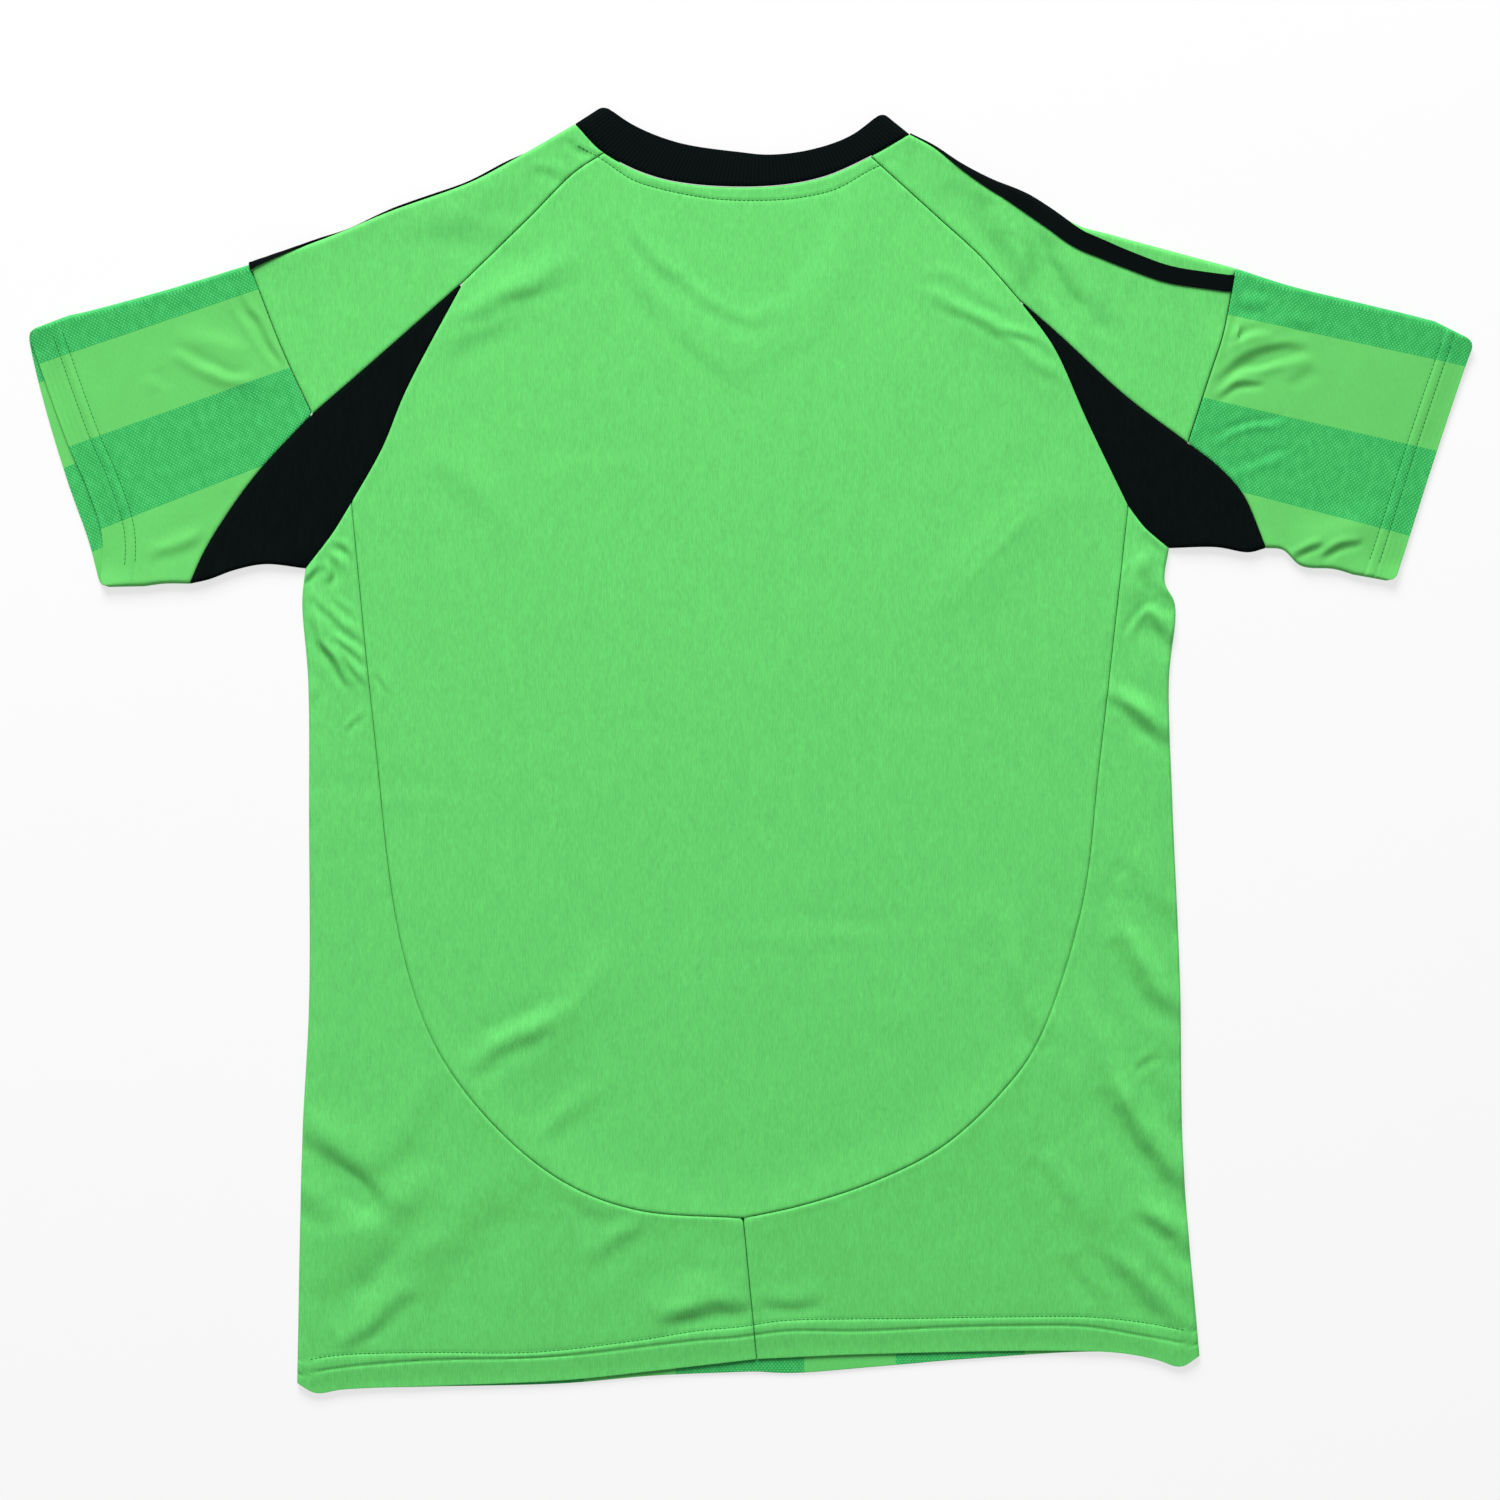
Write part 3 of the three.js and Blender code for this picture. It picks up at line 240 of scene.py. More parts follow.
# Finer creases: strength, half width, and the points that each runs through. The cloth rises by the
# strength on one side of the line and sinks by it on the other. Where the strength is negative, the
# side away from the light is the lower one.
FINE_CREASES = [
    # left armpit
    (-1.17, 2.1, [(-248.4, 112.2), (-246.9, 103), (-251.5, 96.9)]),
    (-0.91, 1.8, [(-245.3, 121.4), (-237.7, 118.4), (-234.6, 115.3)]),
    (0.78, 2.3, [(-248.4, 119.9), (-240.7, 114.5), (-236.1, 109.1)]),
    (-1.30, 2.3, [(-261, 92), (-251.5, 83.1), (-242.3, 74.6), (-230.7, 63.9), (-226, 59)]),
    (-0.72, 1.9, [(-246.9, 89.2), (-240.7, 83.1), (-234.6, 75.4)]),
    (-1.17, 2.0, [(-243.8, 66.2), (-234.6, 57), (-225.4, 49.3)]),
    (-1.30, 2.1, [(-264, 99), (-259, 103.5), (-253, 109)]),
    (-1.69, 2.3, [(-259.5, 86), (-254.5, 64.7), (-248.4, 55.5), (-240.7, 43.2), (-234.6, 35.5)]),
    (-0.78, 1.7, [(-240.7, 55.5), (-234.6, 47.8), (-226.9, 37)]),
    (-0.78, 1.7, [(-238, 10.5), (-231.5, 17.1), (-225.4, 20.2)]),
    (-0.65, 2.8, [(-256, 44), (-253, 36), (-256, 28)]),
    (-0.72, 1.6, [(-221.5, 45.5), (-217.7, 41.7), (-214, 34)]),
    (-0.91, 1.6, [(-213.9, 34), (-216.2, 26.3), (-220, 20)]),
    # right armpit
    (-2.00, 6.2, [(225, 109), (237, 98), (252, 85)]),
    (-1.12, 4.5, [(236, 114), (231.8, 103), (234, 92)]),
    (-0.70, 2.0, [(233.6, 129.1), (239.3, 121.5), (243, 115.9)]),
    (0.90, 2.5, [(222, 66), (226, 75), (233.6, 83.8), (241.2, 80), (248.7, 76.2)]),
    (-1.88, 4.8, [(232, 80), (238, 74), (243, 68.7), (252, 58)]),
    (-1.50, 4.5, [(209, 32), (222.3, 25.3), (233.6, 15.8), (255, -2)]),
    (0.88, 4.2, [(214, 36.5), (229, 30), (240, 22)]),
    # right hip
    (1.12, 6.3, [(203, -136), (208, -160), (220, -188), (233, -214), (249, -242)]),
    (-2.12, 5.9, [(209, -196), (222, -217), (236, -236), (264, -270)]),
    (0.88, 9.8, [(206, -215), (222, -243), (246, -272)]),
    (-2.12, 6.2, [(219, -108), (229, -129), (238, -145), (260, -164)]),
    (1.00, 5.6, [(219, -98), (229, -113), (238, -131)]),
    (-1.00, 7.0, [(220, -62), (236, -88), (262, -112)]),
    (-0.62, 4.5, [(213, -74), (219, -90)]),
    (-0.60, 2.4, [(226, -187), (234, -183), (242, -179)]),
    (-1.62, 5.0, [(228, -270), (246, -285), (268, -306)]),
    (1.00, 5.6, [(231, -257), (254, -281)]),
    (-2.00, 6.4, [(202, -290), (224, -312), (240, -328), (258, -348)]),
    (1.12, 6.2, [(212, -287), (230, -306), (246, -324)]),
    (-1.12, 5.0, [(236, -300), (250, -314), (266, -334)]),
    (-0.88, 4.5, [(169, -239), (178, -252), (187, -268)]),
    (-0.88, 4.5, [(185, -296), (195, -309), (205, -325)]),
    (-0.50, 8.4, [(176, -259), (205, -283), (235, -300)]),
    (-1.12, 6.4, [(143, -98), (157, -140), (169, -176)]),
    (0.75, 6.2, [(157, -112), (171, -164)]),
    (1.10, 9.0, [(182, -150), (196, -190), (208, -236), (226, -276)]),
    (-1.00, 8.0, [(240, -190), (250, -214), (264, -236)]),
    (0.90, 8.0, [(190, -262), (206, -292), (228, -322)]),
    # left side
    (-1.75, 7.0, [(-276, -218), (-249, -236), (-235.2, -246.5), (-218.4, -266), (-202, -279)]),
    (-0.88, 8.4, [(-183, -190), (-194, -222), (-210, -250)]),
    (1.00, 8.4, [(-200, -308), (-220, -324), (-238, -346)]),
    (-1.12, 4.5, [(-197, -317), (-215.7, -332.9), (-229.6, -346.9), (-240.7, -354)]),
    (-0.50, 6.3, [(-204.5, -285.5), (-218.4, -302.3), (-238, -313.4)]),
    (-1.00, 5.6, [(-272, -258), (-246, -281)]),
    (0.62, 7.0, [(-258, -246), (-236, -262), (-222, -280)]),
    (-1.44, 3.9, [(-170, -192), (-158, -186), (-146, -179.6), (-132, -171.8), (-116.7, -162.9)]),
    (1.00, 4.5, [(-160, -173), (-140.4, -162.9), (-120.9, -154), (-104.2, -146)]),
    (-0.35, 2.2, [(-104, -154.6), (-95.8, -144.8), (-86, -133.7)]),
    (-0.50, 5.6, [(-126.5, -232.6), (-104, -215.9), (-88, -200)]),
    (0.44, 5.6, [(-132, -227), (-115.3, -212), (-93, -195)]),
    (1.30, 11.0, [(-262, -272), (-238, -276), (-214, -262), (-190, -238)]),
    (1.20, 9.0, [(-252, -340), (-226, -318), (-204, -294), (-180, -268)]),
    (-0.90, 12.0, [(-186, -330), (-176, -300), (-150, -270), (-118, -254)]),
    # bottom centre
    (-1.62, 4.8, [(-54, -339), (-31.7, -330.6), (-14, -328.5), (1, -328.7)]),
    (1.25, 9.1, [(-56, -331), (-28.9, -316), (-2, -306)]),
    (-1.00, 4.5, [(3, -325.5), (24.7, -327), (45, -323)]),
    (-0.88, 5.6, [(-98, -305), (-76.3, -288.3), (-58, -277)]),
    (0.50, 4.8, [(-90, -294), (-76, -283), (-64, -277)]),
    (-0.44, 4.2, [(-109.8, -260.5), (-93, -271.6), (-78, -275.8)]),
    # upper back
    (-0.69, 4.2, [(-178, 250), (-157, 259), (-142.8, 266), (-122, 273)]),
    (-0.50, 6.3, [(-144, 264), (-121.5, 274), (-100, 290)]),
    (-0.50, 5.6, [(-182, 232), (-160, 243), (-138, 252)]),
    (-0.62, 3.9, [(105, 280), (121, 275.1), (132.8, 267.7), (144.6, 261.1), (157, 253)]),
    (0.40, 2.6, [(100, 273), (118, 266.2), (132.8, 259.6), (147.5, 252.2), (165, 249)]),
    (-0.75, 2.5, [(106, 265), (123.9, 256.7), (137.2, 250), (147.5, 243.4), (161, 235)]),
    (-0.80, 2.2, [(143, 247.5), (157.8, 244.9), (168.2, 240.4), (179, 232)]),
    (0.40, 2.4, [(155, 242), (171, 231.6), (184, 223)]),
    (-0.50, 2.4, [(162, 230), (171.1, 222.7), (180, 217.6), (188, 211)]),
    (-0.62, 7.0, [(112, 80), (137, 111), (178, 153)]),
    (0.40, 2.4, [(114, 84), (140, 116), (174, 150)]),
    (-0.44, 8.4, [(-184, 172), (-164, 152), (-147, 135)]),
    # over the neck opening of the front
    (-0.75, 4.2, [
        (-80, 318), (-61.4, 292.6), (-43.7, 276.7), (-29.5, 266.1), (-11.8, 254.8), (2.4, 251.9),
        (16, 259),
    ]),
    (-0.40, 5.0, [
        (-92, 316), (-73.8, 285.6), (-64.9, 267.9), (-50.7, 255.5), (-36.6, 239.5), (-18.9, 223.6),
        (2, 212),
    ]),
    (-0.20, 4.5, [(33, 254), (46, 263), (69, 294)]),
    # marks of the storage folds
    (0.20, 5.0, [(-250, -26.6), (-204, -25.6), (-158, -26.6)]),
    (0.15, 6.0, [(-137, 170), (-98, 171.5), (-58, 172)]),
    (0.20, 5.0, [(-31, -106), (44, -105), (120, -106)]),
    # left sleeve
    (0.94, 1.9, [(-309, 280), (-302.1, 262), (-293.1, 244), (-279.7, 226)]),
    (-1.22, 1.9, [(-299, 267), (-290.9, 253), (-281.9, 237.3), (-276, 226)]),
    (1.22, 3.0, [(-342, 236.5), (-324.5, 228.3), (-308.8, 221.6), (-291, 220)]),
    (-0.47, 4.5, [(-331, 240), (-312, 236), (-293, 228)]),
    (0.54, 4.0, [(-353, 223), (-349, 217), (-346.9, 211)]),
    (-0.81, 4.5, [(-355, 110), (-338, 118.5), (-320, 128)]),
    (0.54, 4.5, [(-350, 118), (-334, 126), (-322, 134)]),
    # right sleeve
    (0.94, 1.8, [(287.5, 256), (284.5, 246), (283.4, 234)]),
    (-0.94, 1.8, [(289.5, 250), (287.5, 240)]),
    (-1.10, 2.6, [(273, 218), (289, 229.2), (300.2, 235.9), (315.9, 238.1), (326, 235.5)]),
    (0.81, 2.3, [(283, 236), (293, 244), (309, 247)]),
    (-1.22, 2.0, [(274, 208), (286.7, 214.6), (304, 217)]),
    (0.94, 2.4, [(277.8, 213.5), (289, 222.4), (304.7, 226.9), (331.6, 232.5)]),
    (-0.68, 4.0, [(333, 227.5), (316, 217)]),
    (-0.68, 3.0, [(288, 262), (302, 258)]),
    (0.54, 3.0, [(291, 270), (305, 266)]),
    (-0.54, 3.5, [(318, 255), (332, 247)]),
    (0.81, 1.9, [(272, 183), (293.5, 191), (317, 196)]),
    (0.54, 2.6, [(281, 162.5), (304.7, 170.9), (318, 176)]),
    (-1.35, 2.0, [(319, 113), (326, 118.2), (337, 122)]),
    (-1.35, 2.2, [(337, 114), (345, 119.3), (361.5, 123.5)]),
    # shoulders
    (-2.0, 8, [(122, 338), (140, 318), (153, 298), (158, 280)]),
    (1.8, 7, [(146, 322), (162, 298), (170, 276)]),
    (-2.0, 7, [(164, 312), (180, 290), (192, 268), (200, 248)]),
    (-0.6, 2.2, [(218, 282), (220, 276), (220, 269)]),
    (-0.9, 1.7, [(-109, 361.5), (-101, 355.5), (-92, 350)]),
    (-0.7, 3.0, [(-128, 341), (-117, 341), (-108, 336)]),
    (-0.6, 8, [(-206, 302), (-180, 306), (-150, 300), (-128, 292)]),
    (-0.70, 4.8, [(137, 308), (150.5, 289.1), (159, 275)]),
    (-1.00, 3.9, [(153, 308), (166.7, 293.5), (174, 281.7), (180, 271.4), (188, 257)]),
    (0.60, 3.9, [(160, 290), (170, 274), (177, 260)]),
    (-0.70, 2.7, [(175, 293), (184.4, 280.2), (190.3, 269.9), (196, 259)]),
    (0.70, 3.9, [(188, 268), (200, 254), (214, 238)]),
]

# Relief of the upper layer round the neck opening: distance inside the front collar's free edge, and rise
NECK_RELIEF = [(-30, 0), (-20, 0.35), (-3, 0.35), (12, -0.5)]
NECK_RELIEF_FROM = (16, 46)  # distances from the shoulder folds where it begins and is whole

# Boundaries of the sleeves' stripes on the back, from the folded edge down, each through two points
STRIPE_WIDTH = 52
STRIPES = {
    "left": [((-418, 228), (-298.5, 268.5)), ((-401, 179), (-272.5, 225)), ((-380.5, 131), (-291.5, 166))],
    "right": [((289, 255), (420.5, 226.5)), ((272.5, 206.5), (402.5, 177)), ((294, 151), (390, 126))],
}
FRONT_STRIPES = {"width": 76, "period": 130, "centre": -6}

# Shoulder tape: share along the shoulder, then its two edges as distances from the middle of the fold,
# over the back
TAPE = {
    "left": [
        (0, -8, -2.0), (0.18, -8, -1.6), (0.26, -8, 0.4), (0.36, -8, -0.6), (0.5, -8, 0.6), (0.7, -8, -1.4),
        (0.8, -8, 0.8), (0.9, -8, 2.4), (1, -7, 4.4),
    ],
    "right": [
        (0, -1.2, 1.0), (0.08, -1.2, 1.5), (0.2, -1.2, 3.9), (0.29, -1.0, 7.9), (0.38, 0, 11.4),
        (0.48, 1.0, 12.5), (0.6, 5.0, 16), (0.7, 8.3, 18.7), (0.8, 10.6, 20.8), (0.9, 8, 17.8),
        (1, 5, 15.2),
    ],
}
TAPE_EASE = 16  # passes that round the corners of those edges

SEAM_ROWS = [0.25, 0.6, 1.0, 1.7, 2.7, 4.0]  # distances of the close lines beside a seam
UNDER_ROWS = [0.01, 0.5, 1.0, 1.7, 2.7, 4.0]  # the same in the lower layer, whose seams let no light through
GUSSET_ROWS = [0.08, 0.4]
UNDER_GUSSET_ROWS = [0.0, 0.4]
PLAIN_EDGE = [0.0]
NECK_ROWS = [0.25, 0.6, 1.0, 1.7, 2.5, 3.4, 4.3, 5.2, 6.1, 6.9, 7.6, 8.3, 9.0, 9.8, 10.8, 12.0]
UNDER_SHOULDER_ROWS = [UNDER_ROWS[0], 1.0]
FRONT_SIDE_ROWS = [UNDER_ROWS[0], 1.0, 3.0]
FRONT_HEM_ROWS = [0, 0.8, 1.8, 3, 5, 8]

# The same beside a folded edge
SIDE_FOLD_ROWS = [FOLD_CLEAR, 6.5, 9.5]
SHOULDER_FOLD_ROWS = [FOLD_CLEAR, 5.8]
SLEEVE_FOLD_ROWS = [FOLD_CLEAR, 6.5]
COLLAR_FOLD_ROWS = [FOLD_CLEAR, 6.0]
SIDE_STRIP_ROWS = [FOLD_CLEAR, 6, 8, 10, 12, 13.5, SIDE_WRAP - 0.15]

# Pitch of each piece's rows, then about how long the rows are, and the pitch of the points on them, in
# the upper layer and in the lower one
FRONT_MESH = (6, 470, 6)
BACK_MESH = (2.6, 450, 2.7)
SHOULDER_MESH = (2.4, 72, 2.4, 3.6)
SLEEVE_MESH = (2.0, 200, 2.1, 3.4)
GUSSET_MESH = (2.2, 230, 2.2, 3.4)
PLAN_LINES, BACK_PLAN_LINES, SHORT_PLAN_LINES = 140, 220, 60  # lines that the plans are worked out on
SCOOP_TURN = 0.55  # share of the scooped seam that bounds the back panel's rows at the sides
GUSSET_LINES = 26
LOWER_BACK_LINES = 110
COLLAR_LINES = {"back": 120, "front": 170}  # lines that the collar's seams are read at
COLLAR_ROUND = {"back": 110, "front": 150}  # steps along it between its folds
COLLAR_ROWS = 12
COLLAR_SEAM_ROWS, COLLAR_EDGE_ROWS = [0.006, 0.02, 0.05], [0, 0.004, 0.015, 0.03, 0.05, 0.08, 0.12]
COLLAR_CROWN = 0.35  # how much higher the middle of the band is than its edges
COLLAR_RIM = 0.4
TAPE_LINES = 15
RIM_ANGLE = 62  # cut edges are sharper than this, in degrees
SMOOTH_ANGLE = 50  # creases in a mesh are smoothed up to this


class Run:
    """A line of plan points that is read by the distance along it."""

    def __init__(self, points, marks=None):
        self.points = np.asarray(points, float)
        steps = np.linalg.norm(np.diff(self.points, axis=0), axis=1)
        self.along = np.concatenate([[0.0], np.cumsum(steps)])
        self.length = float(self.along[-1])
        self.marks = None if marks is None else self.along[marks]

    def at(self, distance):
        d = np.clip(distance, 0, self.length)
        return np.stack([np.interp(d, self.along, self.points[:, k]) for k in (0, 1)], axis=-1)

    def part(self, start, end):
        count = max(2, int(abs(end - start)) + 2)
        return Run(self.at(np.linspace(start, end, count)))

    def back(self):
        return Run(self.points[::-1])


def smooth(points, steps=40):
    """The smooth curve through plan points: centripetal, with its ends extended straight."""
    p = np.array(points, float)
    q = np.vstack([2 * p[0] - p[1], p, 2 * p[-1] - p[-2]])
    w = (np.arange(steps) / steps)[:, None]
    spans = []
    for a, b, c, d in zip(q[:-3], q[1:-2], q[2:-1], q[3:]):
        ab, bc, cd = (math.sqrt(np.linalg.norm(v)) for v in (b - a, c - b, d - c))
        start = ((b - a) / ab - (c - a) / (ab + bc) + (c - b) / bc) * bc
        end = ((c - b) / bc - (d - b) / (bc + cd) + (d - c) / cd) * bc
        square, cube = 3 * (c - b) - 2 * start - end, 2 * (b - c) + start + end
        spans.append(b + start * w + square * w**2 + cube * w**3)
    spans.append(p[-1:])
    return Run(np.vstack(spans), [k * steps for k in range(len(p))])


def chain(*runs):
    """Runs joined end to end, each starting on the last point of the one before it."""
    return Run(np.vstack([runs[0].points, *[r.points[1:] for r in runs[1:]]]))


CURVES = {side: {name: smooth(points) for name, points in EDGES[side].items()} for side in SIDES}
BACK_NECK_RUN = smooth(BACK_NECK)
COLLAR_TOP_RUN = smooth(COLLAR_TOP)
CENTRE_RUN = smooth(CENTRE_SEAM)
HEM_STITCH_RUN = smooth(HEM_STITCH)
HEM_GROOVE_RUN = smooth(HEM_GROOVE)
NECK_STITCH_RUN = smooth(NECK_STITCH)


class Near:
    """Distance from plan points to the nearest of several runs."""

    def __init__(self, runs, pitch=2.0):
        points, before, after = [], [], []
        for run in runs:
            p = run.at(np.linspace(0, run.length, max(2, int(run.length / pitch) + 1)))
            first = len(points)
            last = first + len(p) - 1
            points.extend(p.tolist())
            before.extend([max(k - 1, first) for k in range(first, last + 1)])
            after.extend([min(k + 1, last) for k in range(first, last + 1)])
        self.points, self.sides = np.array(points), (np.array(before), np.array(after))
        self.tree = kdtree.KDTree(len(points))
        for k, (x, y) in enumerate(points):
            self.tree.insert((x, y, 0), k)
        self.tree.balance()

    def distance(self, plan):
        index = np.array([self.tree.find((x, y, 0))[1] for x, y in plan.tolist()])
        p = self.points[index]
        best = np.linalg.norm(plan - p, axis=1)
        for side in self.sides:
            span = self.points[side[index]] - p
            share = np.clip(((plan - p) * span).sum(1) / np.maximum((span**2).sum(1), 1e-9), 0, 1)
            best = np.minimum(best, np.linalg.norm(plan - p - share[:, None] * span, axis=1))
        return best


FOLDS = ("shoulder_fold", "sleeve_fold", "sleeve_under", "underarm", "side_fold")
UPPER_SEAMS = (
    "raglan", "gusset_shoulder", "gusset_sleeve", "gusset_body", "gusset_side", "sleeve_seam", "scoop",
)
SEAM_PLACE_PITCH = 1.5


def near(*names):
    """Distances from the named seams or edges of both sides."""
    return Near([CURVES[side][name] for side in SIDES for name in names])


NEAR_FOLD = near(*FOLDS)
NEAR_SIDE_FOLD = near("side_fold")
NEAR_SHOULDER = near("shoulder_fold")
NEAR_LEFT_SHOULDER = Near([CURVES["left"]["shoulder_fold"]])
NEAR_FRONT_COLLAR = near("front_collar")
NEAR_OPEN_EDGE = near("hem", "cuff")
NEAR_SCOOP = near("scoop")
NEAR_SEAM = Near(
    [CURVES[side][name] for side in SIDES for name in UPPER_SEAMS] + [CENTRE_RUN, BACK_NECK_RUN],
    SEAM_PLACE_PITCH,
)
NEAR_NECK_STITCH = Near([NECK_STITCH_RUN], SEAM_PLACE_PITCH)
NEAR_CUFF = {side: Near([CURVES[side]["cuff"], CURVES[side]["front_cuff"]]) for side in SIDES}


def soft_step(x, low, high):
    """0 below low, 1 above high, and a smooth way between them."""
    t = np.clip((x - low) / (high - low), 0, 1)
    return t * t * (3 - 2 * t)


def fade(distance, reach):
    """1 on a line, and less further away from it: about a third at the reach."""
    return np.exp(-((distance / reach) ** 2))


def main_crease(plan, start, end, width, rise, bow):
    """Height of a broad ridge, or of a trough where rise is negative."""
    chord = np.subtract(end, start)
    length = np.linalg.norm(chord)
    chord = chord / length
    offset = plan - np.array(start)
    share = np.clip(offset @ chord / length, 0, 1)
    side = chord[0] * offset[:, 1] - chord[1] * offset[:, 0] - bow * 4 * share * (1 - share)
    return rise * np.sin(np.pi * share) * fade(side, width)


def fine_crease(plan, strength, width, points):
    """Height of a fine crease, which rises on one side of its line and sinks on the other."""
    run = smooth(points, 6)
    low, high = run.points.min(0) - CREASE_REACH * width, run.points.max(0) + CREASE_REACH * width
    inside = np.flatnonzero(((plan > low) & (plan < high)).all(1))
    z = np.zeros(len(plan))
    if not len(inside):
        return z
    p = plan[inside]
    best = np.full(len(p), np.inf)
    share, side = np.zeros(len(p)), np.zeros(len(p))
    chord = run.points[-1] - run.points[0]
    lit_side = np.sign(chord[0] * LIGHT_SIDE[1] - chord[1] * LIGHT_SIDE[0])
    for a, b, s in zip(run.points[:-1], run.points[1:], run.along[:-1]):
        span = b - a
        t = np.clip((p - a) @ span / (span @ span), 0, 1)
        d = np.linalg.norm(p - a - t[:, None] * span, axis=1)
        closer = d < best
        best[closer] = d[closer]
        share[closer] = ((s + t * np.linalg.norm(span)) / run.length)[closer]
        turn = span[0] * (p[:, 1] - a[1]) - span[1] * (p[:, 0] - a[0])
        side[closer] = np.sign(turn)[closer]
    across = best * side * lit_side / width
    z[inside] = -strength * across * np.exp(0.5 * (1 - across**2)) * np.sin(np.pi * share) ** CREASE_ENDS
    return z


def neck_relief(plan):
    """Height that the front's collar and neck opening, which lie below, give to the back."""
    edges = []
    for side in SIDES:
        p = CURVES[side]["front_collar"].points[::-1]
        edges.append(np.interp(plan[:, 1], p[:, 1], p[:, 0]))
    lowest = CURVES["left"]["front_collar"].points[-1, 1]
    within = (plan[:, 1] > lowest) & (plan[:, 0] > edges[0]) & (plan[:, 0] < edges[1])
    d = NEAR_FRONT_COLLAR.distance(plan)
    inside = np.where(within, d, -d)
    rise = np.zeros(len(plan))
    for (a, low), (b, high) in zip(NECK_RELIEF[:-1], NECK_RELIEF[1:]):
        rise += (high - low) * soft_step(inside, a, b)
    return rise * soft_step(NEAR_SHOULDER.distance(plan), *NECK_RELIEF_FROM)


def uneven(plan, size, seed, stretch=1.0):
    """Smooth noise of about the given size over plan points. stretch makes it longer along Y."""
    rows = (plan / [size, size * stretch]).tolist()
    return np.array([noise.noise(Vector((x, y, seed))) for x, y in rows])


def body_hem(plan):
    """Height that the stitched hem adds: a puffed band between two stitch lines, and a fall below them."""
    z = np.zeros(len(plan))
    near_hem = plan[:, 1] < HEM_FROM
    x, y = plan[near_hem].T
    below_stitch, below_groove = (
        np.interp(x, run.points[:, 0], run.points[:, 1]) - y for run in (HEM_STITCH_RUN, HEM_GROOVE_RUN)
    )
    band = np.clip(below_stitch / np.maximum(below_stitch - below_groove, 1e-3), 0, 1)
    (line, line_width), (fold_line, fold_width), (fall, reach) = HEM_LINE, HEM_FOLD_LINE, HEM_EDGE
    z[near_hem] = (
        HEM_RISE * soft_step(below_stitch, *HEM_RISE_REACH)
        - line * fade(below_stitch, line_width)
        + HEM_PUFF * np.sin(np.pi * band) * (below_groove < 0)
        - fold_line * fade(below_groove, fold_width)
        - fall * soft_step(below_groove, 0, reach)
    )
    return z


def cuff_hem(plan, side):
    """Height that a cuff's stitched hem adds."""
    outer, inner = CUFF_STITCHES[side]
    z = np.zeros(len(plan))
    near_cuff = np.flatnonzero(np.abs(plan[:, 0]) > CUFF_FROM)
    if not len(near_cuff):
        return z
    there = plan[near_cuff]
    d = NEAR_CUFF[side].distance(there)
    band = np.clip((inner - d) / (inner - outer), 0, 1)
    (line, width), (fall, reach), (before, after) = CUFF_LINE, CUFF_EDGE, CUFF_RISE_REACH
    least, pitch, seed = RIPPLE_CHANGES
    ripple = CUFF_RIPPLE[side] * np.sin(d * 2 * math.pi / RIPPLE_PITCH) * soft_step(inner - d, 0, 2)
    z[near_cuff] = (
        CUFF_RISE * soft_step(-d, -inner - before, -inner + after)
        - line * fade(d - inner, width)
        + CUFF_PUFF * np.sin(np.pi * band)
        + ripple * (least + uneven(there, pitch, seed))
        - line * fade(d - outer, width)
        - fall * soft_step(outer - d, 0, reach)
    )
    return z


def scoop_ridge(plan):
    """Height over the allowance of the scooped seam: short above it, and falling off slowly below it."""
    z = np.zeros(len(plan))
    low = np.flatnonzero(plan[:, 1] < -SCOOP_RIDGE_FROM[0])
    if not len(low):
        return z
    x, y = plan[low].T
    line = np.concatenate([CURVES["left"]["scoop"].points, CURVES["right"]["scoop"].points[::-1]])
    d = NEAR_SCOOP.distance(plan[low])
    above = y > np.interp(x, line[:, 0], line[:, 1], left=np.inf, right=np.inf)
    rise = np.where(above, fade(d, SCOOP_RIDGE_ABOVE), np.exp(-d / SCOOP_RIDGE_BELOW))
    z[low] = SCOOP_RIDGE * rise * soft_step(-y, *SCOOP_RIDGE_FROM)
    return z


def fine_creases(plan):
    """Height of all fine creases, whose lines wander and whose strength changes along the way."""
    wander, *seeds = CREASE_WANDER
    wandering = plan + wander * np.stack([uneven(plan, CREASE_PITCH, seed) for seed in seeds], axis=1)
    z = np.zeros(len(plan))
    for crease in FINE_CREASES:
        z += fine_crease(wandering, *crease)
    change, seed = CREASE_UNEVEN
    return z * CREASE_STRENGTH * (1 + change * uneven(plan, CREASE_PITCH, seed))


def waves(plan, rise, size, seed, stretch=1.0):
    return rise * uneven(plan, size, seed, stretch)


